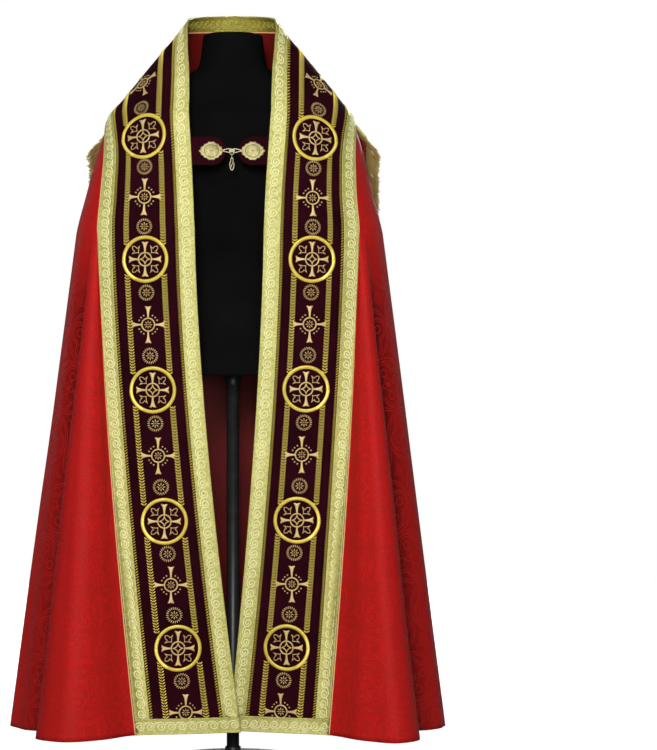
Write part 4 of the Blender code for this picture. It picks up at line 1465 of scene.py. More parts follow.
def flattened(points: ndarray, rows: int = 33, columns: int = 81,
              rounds: int = 2500) -> ndarray:
    """The flat cut of a hanging cloth, found by easing a grid of its lengths into the plane.

    Args:
        points: The cloth's places, in rows from its top and columns.
        rows: Rows of the easing grid.
        columns: Columns of the easing grid.
        rounds: How many times the grid is eased.

    Returns:
        A flat place for each point, with its middle column upright.
    """
    i = np.linspace(0, points.shape[0] - 1, rows).round().astype(int)
    j = np.linspace(0, points.shape[1] - 1, columns).round().astype(int)
    across, down = np.diff(points, axis=1), np.diff(points, axis=0)
    wide = np.pad(np.cumsum(np.linalg.norm(across, axis=-1), axis=1), ((0, 0), (1, 0)))
    deep = np.pad(np.cumsum(np.linalg.norm(down, axis=-1), axis=0), ((1, 0), (0, 0)))
    wide, deep = np.diff(wide[np.ix_(i, j)], axis=1), np.diff(deep[np.ix_(i, j)], axis=0)
    lean = (across[:-1] * down[:, :-1]).sum(axis=-1)
    lean /= np.linalg.norm(across[:-1], axis=-1) * np.linalg.norm(down[:, :-1], axis=-1)
    lean = np.add.reduceat(np.add.reduceat(lean, i[:-1], axis=0), j[:-1], axis=1)
    lean /= np.outer(np.diff(i), np.diff(j))
    a, b = (wide[1:] + wide[:-1]) / 2, (deep[:, 1:] + deep[:, :-1]) / 2
    every, later, earlier = slice(None), slice(1, None), slice(None, -1)
    links = (
        ((every, later), (every, earlier), wide),
        ((later, every), (earlier, every), deep),
        ((later, later), (earlier, earlier), np.sqrt(a * a + b * b + 2 * a * b * lean)),
        ((later, earlier), (earlier, later), np.sqrt(a * a + b * b - 2 * a * b * lean)),
    )
    half = columns // 2
    top, hem, fall = wide[0].sum(), wide[-1].sum(), deep[:, half].sum()
    reach = fall * top / (hem - top)
    radius = reach + np.linspace(0, fall, rows)[:, None]
    turn = np.linspace(-0.5, 0.5, columns) * hem / (reach + fall)
    flat = places(radius * np.sin(turn), -radius * np.cos(turn))
    for _ in range(rounds):
        move, count = np.zeros_like(flat), np.zeros((rows, columns, 1))
        for here, there, length in links:
            gap = flat[here] - flat[there]
            size = np.linalg.norm(gap, axis=-1)
            shift = gap * ((length - size) / size / 2)[..., None]
            move[here] += shift
            move[there] -= shift
            count[here] += 1
            count[there] += 1
        flat += 1.6 * move / count
    spine = flat[-1, half] - flat[0, half]
    upright = -90 - math.degrees(math.atan2(spine[1], spine[0]))
    flat = turned((flat - flat[0, half]).reshape(-1, 2), upright).reshape(rows, columns, 2)
    for kept, total in ((j, points.shape[1]), (i, points.shape[0])):
        flat = np.array([
            places(*(np.interp(np.arange(total), kept, line[:, k]) for k in range(2)))
            for line in flat
        ]).swapaxes(0, 1)
    return flat


@dataclass
class Cloak:
    """The red body of the cope, in one piece from band to band."""

    form: CloakForm
    columns_per_fold: int = 10
    rows_above: int = 34
    rows_below: int = 92
    tuck_fold: float = 0.085
    cut: tuple[float, float] = (0.0, 0.0)
    cut_area: float = 0.0

    def measure(self, flat: ndarray) -> None:
        """Keeps the size and area of the flat cut."""
        self.cut = tuple(round(float(size), 2) for size in np.ptp(flat.reshape(-1, 2), axis=0))
        a, b = flat[1:, 1:] - flat[:-1, :-1], flat[:-1, 1:] - flat[1:, :-1]
        area = np.abs(a[..., 0] * b[..., 1] - a[..., 1] * b[..., 0]).sum() / 2
        self.cut_area = round(float(area), 2)
        LOG.info("body cut: %s m, %.2f square metres", self.cut, self.cut_area)

    def half(self, side: Side) -> tuple[ndarray, ndarray, ndarray]:
        """One half of the body.

        Args:
            side: Which half.

        Returns:
            Its points, their normals and the share of painted shade for the fold hollows, rows from
            the band down.
        """
        last = len(FOLDS[side]) - 1
        count = (last - BAND_EDGE_FOLD) * self.columns_per_fold + 1
        even = np.linspace(BAND_EDGE_FOLD, last, count)
        fold = np.concatenate([[BAND_EDGE_FOLD - self.tuck_fold], even])
        edge = self.form.outer_angle(CHEST)
        share = np.clip((self.form.chest_angle(side, fold) - edge) / (180 - edge), 0, 1)
        apex = self.form.band_row(APEX_ROW)[2]
        top = self.form.outer_height(apex + (180 - apex) * share) + TUCK
        above = np.linspace(0, 1, self.rows_above + 1)[:-1, None]
        below = np.linspace(0, 1, self.rows_below + 1)[:, None] + 0 * top
        heights = np.concatenate([top + (CHEST - top) * above, CHEST + (HEM - CHEST) * below])
        points = self.form.hanging(side, fold, heights)
        normals = outward(points, -side.value)
        points = points + normals * self.creased(side, fold, heights)[..., None]
        return points, normals, self.deep(side, fold, heights)

    def creased(self, side: Side, fold: ndarray, heights: ndarray) -> ndarray:
        """How far the soft folds push each point out.

        Args:
            side: Which half.
            fold: The points' fold numbers.
            heights: The points' heights.

        Returns:
            A distance along the normal for each point.
        """
        out = np.zeros(heights.shape)
        for crease in CREASES[side]:
            drop = np.clip((crease.top - heights) / (crease.top - HEM), 0, 1)
            middle = crease.fold + crease.drift * drop
            shape = np.exp(-(((fold - middle) / (crease.width * (0.75 + 0.5 * drop))) ** 2))
            out += crease.depth * shape * drop**0.8 * np.minimum(1, 3 * drop)
        slow = 0.0012 * np.sin(9.0 * heights + 1.7 * fold) * np.sin(1.3 * fold + 2.0)
        clear = np.clip((0.83 - heights) / 0.25, 0, 1)
        clear = clear * np.clip((fold - BAND_EDGE_FOLD - 0.25) / 0.8, 0, 1)
        return out * np.clip((fold - BAND_EDGE_FOLD - 0.2) / 0.5, 0, 1) + slow * clear

    @staticmethod
    def deep(side: Side, fold: ndarray, heights: ndarray) -> ndarray:
        """How deep in a fold each point lies, as the share of painted shade, from 0 on a ridge to 1
        in a valley.
        """
        middle, width, depth = np.array(SHADED_VALLEYS[side]).T[:, :, None]
        depths = depth * np.exp(-(((fold - middle) / width) ** 2))
        return depths.max(axis=0) * np.clip((1.08 - heights) / 0.16, 0, 1)

    def build(self) -> Object:
        """Builds the body and dresses it in damask outside and lining inside."""
        points, facing, deep = (
            np.concatenate([left, right[:, -2::-1]], axis=1)
            for left, right in zip(*(self.half(side) for side in Side))
        )
        flat = flattened(points)
        self.measure(flat)
        mesh = grid_mesh(points, flat)
        # Keeps the painted shade of the fold hollows on the points, for the damask to read.
        mesh.attributes.new(FOLD_SHADE, "FLOAT", "POINT").data.foreach_set("value", deep.ravel())
        return Piece("cope_body", "damask", LINED_DAMASK, ["body"]).hang(mesh, facing)


@dataclass
class Orphrey:
    """One half of the embroidered band, with its ribbons and piping.

    Attributes:
        side: Which half.
        cloth: The band's map.
        trims: The running trims.
        medallions: Heights of the medallions in front, from the lowest.
    """

    side: Side
    cloth: BandMap
    trims: Trims
    medallions: Sequence[float]
    hem_strip: float = 0.032
    centre_strip: float = 0.016
    braid_out: float = 0.040
    rope_in: float = 0.0036
    sink: float = 0.0001
    turning: float = -0.0003
    turned_edge: tuple = ((-0.0004, 0.0004), (0.0004, 0.0004), (0.0004, 0.0046), (-0.0004, 0.0046))

    def __post_init__(self) -> None:
        """Reads the band's length."""
        self.end = float(self.cloth.t[-1])

    def lengthways(self, u: float, start: float, end: float, count: int) -> FlatPath:
        """A line along the band, at a distance from its inner edge."""
        return straight((u, start), (u, end), count)

    def build(self) -> list[Object]:
        """Builds the velvet, its embroidery, its ribbons and its piping."""
        velvet = self.velvet()
        trims = [self.embroidery(), *self.galloons(), self.piping()]
        return [velvet, *trims]

    def velvet(self) -> Object:
        """Builds the velvet ground, lined behind."""
        across, along = np.meshgrid(np.linspace(0, BAND_WIDTH, 43), np.linspace(0, self.end, 270))
        flat = places(across, along, BAND_TOP)
        facing = self.cloth.read(self.cloth.normals, across, along)
        name, node = f"orphrey_velvet_{self.side}", f"orphrey_{self.side}"
        piece = Piece(name, "velvet", LINED_VELVET, [node])
        return piece.hang(grid_mesh(self.cloth.place(flat), flat), facing)

    def stations(self) -> dict[str, list[float]]:
        """Where each kind of motif goes along the band."""
        front = [self.cloth.along(height) for height in self.medallions]
        found = {
            "medallion": [*front, self.end - 0.083],
            "rosette": [self.end - back for back in (0.148, 0.220, 0.026)] + [front[-1] + 0.0625],
            "dotted_cross": [front[-1] + 0.130],
        }
        repeat = (front[-2] - front[0]) / (len(front) - 2)
        for low, high in zip([front[0] - repeat, *front], front):
            found["rosette"] += [low + (high - low) * 0.262, low + (high - low) * 0.745]
            found["dotted_cross"].append((low + high) / 2)
        found["rosette"].remove(min(found["rosette"]))
        return found

    def embroidery(self) -> Object:
        """Stitches the motifs, the wheat braids and the rope edges to the velvet."""
        board, motifs, middle = Board(), Motifs(), BAND_WIDTH / 2
        base = BAND_TOP - self.sink
        stations = self.stations()
        for kind in ("medallion", "rosette", "dotted_cross"):
            unit = getattr(motifs, kind)()
            for along in stations[kind]:
                flat = self.cloth.squared(coordinates(unit), (middle, along))
                board.add(unit, flat + (0, 0, base))
        end, bare = self.end - self.centre_strip, 0.0290
        gaps = [(along - bare - self.hem_strip, along + bare - self.hem_strip)
                for along in stations["medallion"]]
        for sign in (-1, 1):
            path = self.lengthways(middle + sign * self.braid_out, self.hem_strip, end, 240)
            board.run_units(path, self.trims.wheat, self.trims.wheat_pitch, base, gaps=gaps)
            rope_out = middle - GALLOON - self.rope_in
            path = self.lengthways(middle + sign * rope_out, self.hem_strip, end, 240)
            board.run_units(path, self.trims.rope, self.trims.rope_pitch, base, -self.side.value)
        everything = board.bm.verts[:] + board.bm.edges[:] + board.bm.faces[:]
        bmesh.ops.bisect_plane(board.bm, geom=everything, plane_co=(0, self.hem_strip, 0),
                               plane_no=(0, -1, 0), clear_outer=True)
        piece = Piece(f"orphrey_embroidery_{self.side}", "gold_ribbon", STITCHES)
        return piece.lay(board, self.cloth)

    def galloons(self) -> list[Object]:
        """Builds the inner, outer and hem ribbons."""
        start, made = self.hem_strip + SEAM, []
        paths = {
            "inner": self.lengthways(GALLOON / 2, start, self.end, 250),
            "outer": self.lengthways(BAND_WIDTH - GALLOON / 2, start, self.end, 250),
            "hem": straight((0.0, self.hem_strip / 2), (BAND_WIDTH, self.hem_strip / 2), 28),
        }
        for word, path in paths.items():
            board = Board()
            flip = self.side.value * (-1 if word == "inner" else 1)
            self.trims.galloon(board, path, BAND_TOP + self.sink, flip)
            if word == "inner":
                board.stroke(self.lengthways(self.turning, 0.0, self.end, 250), self.turned_edge)
            name, node = f"ribbon_{word}_{self.side}", f"galloon_{word}_{self.side}"
            made.append(Piece(name, "gold_ribbon", RIBBON, [node]).lay(board, self.cloth))
        return made

    def piping(self) -> Object:
        """Builds the cord along the band's outer edge."""
        board = Board()
        path = self.lengthways(BAND_WIDTH + 0.0018, 0.0, self.end, 260)
        board.stroke(path, cut(0.0026, 0.0040, 0.0017))
        piece = Piece(f"edge_piping_{self.side}", "piping", (PIPING,), [f"piping_{self.side}"])
        return piece.lay(board, self.cloth)


@dataclass
class NeckWork:
    """What crosses the nape: the centre ribbon outside, the facing and lining inside."""

    left: BandMap
    right: BandMap
    trims: Trims
    inside: float = 0.0013

    def __post_init__(self) -> None:
        """Joins the two halves' maps at the nape."""
        left, right = self.left, self.right
        count = round(RIBS_PER_ROW * (len(BAND_ROWS) - 1 - FACING_ROW)) + 1
        left_t = left.t[-count:] - left.t[-1] - SEAM / 2
        right_t = (right.t[-1] - right.t[-count:])[::-1] + SEAM / 2
        points, normals = (
            np.concatenate([one[-count:], other[-count:][::-1]])
            for one, other in ((left.points, right.points), (left.normals, right.normals))
        )
        self.cloth = ClothMap(left.u, np.concatenate([left_t, right_t]), points, normals)

    def build(self) -> list[Object]:
        """Builds the three pieces."""
        return [self.centre_ribbon(), self.facing(), self.lining()]

    def centre_ribbon(self) -> Object:
        """Builds the ribbon over the centre-back join."""
        board = Board()
        path = straight((GALLOON, 0.0), (BAND_WIDTH - GALLOON, 0.0), 24)
        self.trims.galloon(board, path, BAND_TOP + 0.0002)
        piece = Piece("ribbon_centre_back", "gold_ribbon", RIBBON, ["galloon_centre_back"])
        return piece.lay(board, self.cloth)

    def facing(self) -> Object:
        """Builds the ribbon on the inner side of the standing neck edge, with its cord, in a darker
        gold that paints in shade.
        """
        board = Board()
        ribbon, cord = (
            straight((u, self.cloth.t[0]), (u, self.cloth.t[-1]), 110)
            for u in (GALLOON / 2, GALLOON + 0.0012)
        )
        self.trims.galloon(board, ribbon, self.inside, 1, rise=-1)
        board.stroke(cord, cut(0.0026, -0.0012, 0.0012), 2)
        # The facing takes the darker gold ribbon as painted shade on its inward face.
        piece = Piece("neck_facing_ribbon", "gold_ribbon", (*SHADED_RIBBON, PIPING), ["collar_facing"])
        return piece.lay(board, self.cloth)

    def lining(self) -> Object:
        """Builds the lining behind the band round the neck and shoulders."""
        across, along = np.meshgrid(
            np.linspace(GALLOON, BAND_WIDTH, 30),
            np.linspace(self.cloth.t[0], self.cloth.t[-1], 110),
        )
        flat = places(across, along, 0.0004)
        facing = -self.cloth.read(self.cloth.normals, across, along)
        piece = Piece("neck_lining_cloth", "lining", (LINING,), ["neck_lining"])
        return piece.hang(grid_mesh(self.cloth.place(flat), flat), facing, 0.0008)


@dataclass
class Hood:
    """The flat shield at the back, with its ribbons, great cross and fringe."""

    form: CloakForm
    trims: Trims
    half_width: float = 0.272
    shoulder: float = 0.032
    bottom: float = 0.883
    corner_height: float = 1.068
    corner_out: float = 0.038
    squareness: float = 2.2
    top_gap: float = 0.0012
    outer_ribbon: float = 0.022
    dark_strip: float = 0.022
    inner_ribbon: float = 0.030
    top_ribbon: float = 0.028
    wall: float = 0.0020
    cross_height: float = 1.1268
    fringe_length: float = 0.0455
    fringe_pitch: float = 0.00125

    def __post_init__(self) -> None:
        """Makes the hood's map and reads the edge above it."""
        self.cloth = hood_map()
        rows = self.form.band_row(np.linspace(APEX_ROW, len(BAND_ROWS) - 1, 80))
        self.edge = self.form.envelope(Side.RIGHT, rows[2], rows[3])[::-1]

    def top(self, x: object) -> ndarray:
        """The height of the hood's top edge."""
        return np.interp(np.abs(x), self.edge[:, 0], self.edge[:, 2]) - self.top_gap

    def outline(self, inset: float, sides: int = 22, corners: int = 40) -> ndarray:
        """The hood's edge, or a line inside it.

        Args:
            inset: How far in the line lies.
            sides: Steps down the straight side.
            corners: Steps round the corner.

        Returns:
            Flat places from the top of the right side to the middle of the bottom.
        """
        side = self.half_width - inset
        corner = np.array([side - self.shoulder, side - self.shoulder / 4])
        top = float(self.top(corner[0]))
        down = np.linspace(top - self.top_ribbon, self.corner_height, sides + 1)
        turn = np.radians(np.linspace(0, 90, corners + 1))[1:]
        reach = np.cos(turn) ** self.squareness + np.sin(turn) ** self.squareness
        reach **= -1 / self.squareness
        x = self.corner_out + (side - self.corner_out) * reach * np.cos(turn)
        drop = (self.corner_height - self.bottom - inset) * reach * np.sin(turn)
        xs = np.concatenate([corner, np.full(sides, side), x, [0.0]])
        ys = np.concatenate([[top], down, self.corner_height - drop, [self.bottom + inset]])
        return places(xs, ys)

    def round(self, inset: float, plain: bool = False) -> FlatPath:
        """The whole line from the top of the left side round to the top of the right.

        Args:
            inset: How far inside the edge it runs.
            plain: Whether its sides run straight up to the top ribbon.

        Returns:
            The line.
        """
        half = self.outline(inset)[plain:]
        if plain:
            half[0, 0] = half[1, 0]
        return FlatPath(np.concatenate([half * (-1, 1), half[-2::-1]]))

    def build(self) -> list[Object]:
        """Builds the velvet shield and everything on it."""
        velvet = self.velvet()
        pieces = [*self.ribbons(), self.cross(), self.fringe()]
        return [velvet, *pieces]

    def velvet(self) -> Object:
        """Builds the shield's ground."""
        edge, peak = self.outline(0.0), self.top(0.0)
        spine = np.linspace(peak - self.top_ribbon, self.bottom + 0.05, len(edge) - 1)
        spine = np.concatenate([[peak], spine])
        shares = np.linspace(0, 1, 26)
        x = edge[:, :1] * (1 - shares)
        height = edge[:, 1:] * (1 - shares) + spine[:, None] * shares
        height[0] = self.top(x[0])
        height[1] = height[0] - self.top_ribbon
        half = places(x, height)
        board = Board()
        board.sheet(lifted(np.concatenate([half, (half * (-1, 1))[-2::-1]]), self.wall))
        bmesh.ops.remove_doubles(board.bm, verts=board.bm.verts, dist=MERGE)
        bmesh.ops.recalc_face_normals(board.bm, faces=board.bm.faces)
        piece = Piece("hood_velvet", "velvet", LINED_VELVET, ["hood"])
        return piece.hang(board.laid(self.cloth), (0, 1, 0), self.wall)

    def ribbons(self) -> list[Object]:
        """Builds the top, inner and outer ribbons."""
        inner_middle = self.outer_ribbon + self.dark_strip + self.inner_ribbon / 2
        reach = self.half_width - self.outer_ribbon - self.dark_strip - 0.0020
        x = np.linspace(-reach, reach, 60)
        head = FlatPath(places(x, self.top(x) - self.top_ribbon / 2))
        plans = (
            ("top", head, self.top_ribbon, 0.94, self.wall + 0.0006),
            ("inner", self.round(inner_middle, True), self.inner_ribbon, 0.94, self.wall),
            ("outer", self.round(self.outer_ribbon / 2), self.outer_ribbon, 0.66, self.wall),
        )
        made = []
        for word, path, width, wave, lift in plans:
            board = Board()
            self.trims.galloon(board, path, lift, 1, width, wave)
            piece = Piece(f"hood_ribbon_{word}", "gold_ribbon", RIBBON, [f"hood_galloon_{word}"])
            made.append(piece.lay(board, self.cloth))
        return made

    def cross(self) -> Object:
        """Stitches the great cross to the shield."""
        board = Board()
        board.set_down(Motifs().great_cross(), (0.0, self.cross_height, self.wall - 0.0001))
        return Piece("hood_great_cross", "gold_ribbon", STITCHES).lay(board, self.cloth)

    def fringe(self) -> Object:
        """Builds the fringe: a braided head and two layers of twisted threads."""
        board = Board()
        board.run_units(self.round(-0.0022), self.trims.rope, 0.0042, self.wall + 0.0004)
        path = self.round(-0.0012)
        count = round(path.length / self.fringe_pitch)
        rng = np.random.default_rng(SEED)
        for layer in range(2):
            along = np.arange(count) + 0.5 * layer + rng.uniform(-0.35, 0.35, count)
            along = np.clip(along * path.length / count, 0, path.length)
            root = path.at(along, 0.0)
            hang = 0.55 * unit_length(root - path.at(along, 0.001)) + (0.0, -0.85)
            hang[:, 0] += rng.normal(0, 0.035, count)
            hang = unit_length(hang)[:, None]
            length = self.fringe_length * (rng.uniform(0.93, 1.0, count) - 0.03 * layer)
            bend = rng.normal(0, 0.0011, count)[:, None]
            swell = rng.uniform(0, 2 * math.pi, count)[:, None]
            unit = self.strand(layer)
            s, out, up = coordinates(unit).T
            side = out + bend * np.sin(math.pi * s * 1.3) + 0.0004 * np.sin(9.0 * s + swell)
            flat = root[:, None] + hang * (s * length[:, None])[..., None]
            flat = flat + places(-hang[..., 1], hang[..., 0]) * side[..., None]
            wave = 0.0006 * np.sin(5.0 * s + swell)
            board.add(unit, lifted(flat, up + 0.0016 - 0.0016 * layer + wave))
        piece = Piece("hood_fringe_threads", "fringe", FRINGE, ["hood_fringe"])
        return piece.lay(board, self.cloth)

    @staticmethod
    def strand(slot: int) -> Mesh:
        """One thread, from 0 to 1 along x, a little thicker at its cut end.

        Args:
            slot: The material's number.

        Returns:
            The thread's mesh.
        """
        s = np.linspace(0, 1, 6)[:, None]
        ring = on_ring(1.0, [45, 135, 225, 315])
        radius = 0.00062 + 0.00028 * s**3
        board = Board()
        board.loft(places(s, radius * ring[:, 0], radius * ring[:, 1]), slot=slot)
        return board.mesh()


@dataclass
class Fastening:
    """Two velvet tabs with openwork ornaments, the hooks between them and the hanging clasp."""

    middle: float = 0.0035
    height: float = 1.2460
    front: float = -0.1372
    slope: float = 0.19
    tab_height: float = 0.058
    tab_gap: float = 0.012
    tab_end: float = 0.085
    tab_round: float = 0.027
    tab_wall: float = 0.0028
    inset: float = 0.003
    ornament_length: float = 0.052
    ornament_height: float = 0.041
    dome: tuple[float, float] = (0.0150, 0.0132)
    wire: float = 0.0009
    loop_gap: float = 0.0003
    hook_overlap: float = 0.005
    ring_radius: float = 0.0042
    ring_drop: float = 0.0040
    link: tuple[float, float] = (0.0026, 0.0050)
    claw: tuple[float, float] = (0.0042, 0.0125)

    def __post_init__(self) -> None:
        """Makes the flat places of the chest and of the clasp's link."""
        self.step = 2 * self.wire + self.loop_gap
        self.face = SEAM + 0.0022 + 2 * self.wire
        self.chest = self.plane(slope=self.slope)
        self.hanging = self.plane()
        self.link_height = (
            self.height - self.ring_drop - self.ring_radius - self.link[1]
            + 2 * self.wire + self.loop_gap
        )

    def plane(self, wide: float = 0.12, slope: float = 0.0, edge_on: bool = False) -> ClothMap:
        """An upright plane at the chest.

        Args:
            wide: How far it reaches to each side.
            slope: How far it leans back for each metre up.
            edge_on: Whether it faces aside, through the ring, and not forwards.

        Returns:
            The plane's map.
        """
        u, t = np.array([-wide, wide]), np.array([1.15, 1.30])
        x, z = np.meshgrid(u, t)
        if edge_on:
            points = places(self.middle, self.front - self.face - 2 * self.step + x, z)
        else:
            points = places(x, self.front + slope * (z - self.height), z)
        facing = (1.0, 0.0, 0.0) if edge_on else (0.0, -1.0, 0.0)
        return ClothMap(u, t, points, np.broadcast_to(facing, points.shape))

    def build(self) -> list[Object]:
        """Builds both sides, the ring and the hanging clasp."""
        made = []
        for side in Side:
            tab, ornament = self.tab(side), self.ornament(side)
            made += [tab, ornament, self.hook(side)]
        return [*made, self.ring(), self.drop_link(), self.drop_claw()]

    def tab_outline(self, side: Side, inset: float) -> ndarray:
        """A tab's edge, or a line inside it.

        Args:
            side: Which side.
            inset: How far inside the edge the line lies.

        Returns:
            Flat places round the tab.
        """
        tip = self.middle + side.value * (self.tab_gap + inset)
        half = self.tab_height / 2 - inset
        end = side.value * (self.tab_end - inset)
        turn = np.radians(np.linspace(90, -90, 31))
        x = tip + side.value * (self.tab_round - inset) * (1 - np.cos(turn))
        arc = places(x, self.height + half * np.sin(turn))
        bottom, top = self.height - half, self.height + half
        corners = ((arc[-1, 0], bottom), (end, bottom), (end, top), (arc[0, 0], top))
        sides = [np.linspace(a, b, n)[1:] for a, b, n in zip(corners, corners[1:], (6, 7, 6))]
        return np.concatenate([arc, *sides])[:-1]

    def tab(self, side: Side) -> Object:
        """Builds one velvet tab, softly rounded at its edge.

        Args:
            side: Which side.

        Returns:
            The object.
        """
        layers = (
            (0.024, 0.0), (0.012, 0.0), (0.004, 0.0), (0.0016, -0.0003), (0.0005, -0.0008),
            (0.0, -0.0015), (0.0004, -0.0023), (0.0014, -0.0027), (0.024, -self.tab_wall),
        )
        board = Board()
        board.loft([lifted(self.tab_outline(side, inset), lift) for inset, lift in layers])
        piece = Piece(f"tab_velvet_{side}", "velvet", LINED_VELVET[:1], [f"tab_{side}"])
        return piece.lay(board, self.chest)

    def ornament(self, side: Side) -> Object:
        """Builds one ornament: a pointed toothed rim round a domed filigree oval.

        Args:
            side: Which side.

        Returns:
            The object.
        """
        turns = steps(224)
        turn = np.radians(turns)
        oval = (np.abs(np.cos(turn)) ** 1.5 + np.abs(np.sin(turn)) ** 1.5) ** (-1 / 1.5)
        tooth = 1 - 0.105 * np.abs(np.sin(7 * turn)) ** 0.7
        half = (self.ornament_length / 2, self.ornament_height / 2)
        layers = (
            (0.55, 0, 0.0), (0.80, 0.3, 0.0), (0.985, 1, 0.0002), (1.0, 1, 0.0007),
            (0.985, 1, 0.0011), (0.80, 0.4, 0.0010), (0.55, 0, 0.0012),
        )
        rings = []
        for share, toothed, lift in layers:
            reach = oval * (1 + (tooth - 1) * toothed) * share
            rings.append(lifted(half * reach[:, None] * on_ring(1.0, turns), SEAM + lift))
        board, base = Board(), SEAM + 0.0008
        board.loft(rings)
        self.domed(board, base)
        for x in (-1, 1):
            for lean in (-34, 0, 34):
                out, up = on_ring(1.0, lean) * (0.0012, 0.0030)
                turned_by = lean if x > 0 else 180 - lean
                stitch = grain(0.0064, 0.0014, 0.0008, turned_by, (x * (0.0185 + out), up))
                board.set_down(stitch, (0.0, 0.0, base))
        piece = Piece(f"filigree_{side}", "gilt_metal", (FILIGREE, GILT), [f"ornament_{side}"])
        centre = self.middle + side.value * (self.tab_gap + self.inset + half[0])
        return piece.lay(board, self.chest, -side.value, (centre, self.height, 0))

    def domed(self, board: Board, base: float) -> None:
        """Draws the domed middle: spirals of wire and beads round a central flower.

        Args:
            board: Where it is drawn.
            base: The height of its underside.
        """
        edge = on_ring(1.0, steps(64)) * self.dome
        profile = ((1.0, 0.0), (0.97, 0.0006), (0.80, 0.0011), (0.45, 0.0015), (0.1, 0.0016))
        board.loft([lifted(edge * share, base + lift) for share, lift in profile])
        board.stroke(FlatPath(edge, closed=True), cut(0.0013, base + 0.0014, base))
        beads = on_ring(1.0, steps(26)) * (0.0171, 0.0152)
        board.scatter(grain(0.0017, 0.0017, 0.0009), beads, np.zeros(26), base + 0.0004)
        s = np.linspace(0, 1, 20)
        for angle in 45.0 * np.arange(8) + 22.5:
            middle = on_ring(1.0, angle) * (0.0098, 0.0084)
            reach = 0.0031 * (1 - 0.85 * s)
            curl = FlatPath(on_ring(1.0, angle + 90 + 500 * s) * reach[:, None] + middle)
            drop = 0.0004 + 0.0011 * (1 - (middle[0] / 0.015) ** 2 - (middle[1] / 0.0132) ** 2)
            board.stroke(curl, cut(0.0010, base + drop + 0.0009, base + drop))
        petals = [grain(0.0046, 0.0020, 0.0007, turn, on_ring(0.0034, turn)) for turn in steps(6)]
        board.set_down(joined(*petals, grain(0.0028, 0.0028, 0.0010)), (0.0, 0.0, base + 0.0017))

    def round_wire(self, lift: float, radius: float | None = None) -> ndarray:
        """The round cut of a wire whose middle is at a lift."""
        return on_ring(radius or self.wire, steps(10)) + (0.0, lift)

    def bent(self, loop: ndarray, lift: float, cloth: ClothMap, piece: Piece) -> Object:
        """Builds a closed loop of wire.

        Args:
            loop: Its flat places.
            lift: How far its middle is from the cloth.
            cloth: The plane that it lies in.
            piece: What it is.

        Returns:
            The object.
        """
        board = Board()
        board.stroke(FlatPath(loop, closed=True), self.round_wire(lift))
        return piece.lay(board, cloth)

    def hook(self, side: Side) -> Object:
        """Builds one hook: a pinched loop of wire that runs under its ornament.

        Args:
            side: Which side.

        Returns:
            The object.
        """
        reach = self.tab_gap + self.inset + 0.003
        centre = self.middle + side.value * (reach - self.hook_overlap) / 2
        turn = np.radians(steps(48))
        pinch = 0.0035 * np.sin(turn) * (0.72 + 0.28 * np.cos(2 * turn) ** 2)
        out = (reach + self.hook_overlap) / 2 * np.cos(turn)
        lift = self.face if side is Side.RIGHT else self.face + self.step
        piece = Piece(f"hook_wire_{side}", "gilt_metal", (GILT,), [f"hook_{side}"])
        return self.bent(places(centre + out, self.height + pinch), lift, self.hanging, piece)

    def ring(self) -> Object:
        """Builds the ring that the clasp hangs from."""
        loop = on_ring(self.ring_radius, steps(40)) + (self.middle, self.height - self.ring_drop)
        piece = Piece("clasp_ring_wire", "gilt_metal", (GILT,), ["clasp_ring"])
        return self.bent(loop, self.face + 2 * self.step, self.hanging, piece)

    def drop_link(self) -> Object:
        """Builds the link, which lies edge-on."""
        loop = on_ring(1.0, steps(40)) * self.link + (0.0, self.link_height)
        piece = Piece("drop_link_wire", "gilt_metal", (GILT,), ["drop_link"], CLASP_DROP)
        return self.bent(loop, 0.0, self.plane(0.02, edge_on=True), piece)

    def drop_claw(self) -> Object:
        """Builds the long clasp with its eye, its waist and its sprung gate."""
        half_width, half_height = self.claw
        centre = self.link_height - self.link[1] - half_height + 2 * self.wire + self.loop_gap
        turn = np.radians(steps(72))
        high = np.sin(turn)
        waist = 1 - 0.45 * np.exp(-(((high - 0.42) / 0.16) ** 2))
        waist = waist * (1 - 0.28 * np.clip(high, 0, 1))
        loop = places(self.middle + half_width * np.cos(turn) * waist, centre + half_height * high)
        lift, board, path = self.face + 2 * self.step, Board(), FlatPath(loop, closed=True)
        thick = 1 + 0.18 * np.clip(-high, 0, 1)[:, None]
        across, up = self.round_wire(0.0).T
        flat = path.at(path.run[:-1, None], across * thick)
        board.loft(lifted(flat, lift + up * thick), closed=True)
        middle = self.middle
        gate = straight((middle + 0.0022, centre + 0.0028), (middle - 0.0028, centre - 0.0086), 8)
        board.stroke(gate, self.round_wire(lift, 0.0007))
        knob = grain(0.0030, 0.0030, 0.0013, place=(self.middle + 0.0026, centre + 0.0036))
        board.set_down(knob, (0.0, 0.0, lift))
        piece = Piece("drop_claw_clasp", "gilt_metal", (GILT,), ["drop_claw"], CLASP_DROP)
        return piece.lay(board, self.hanging)


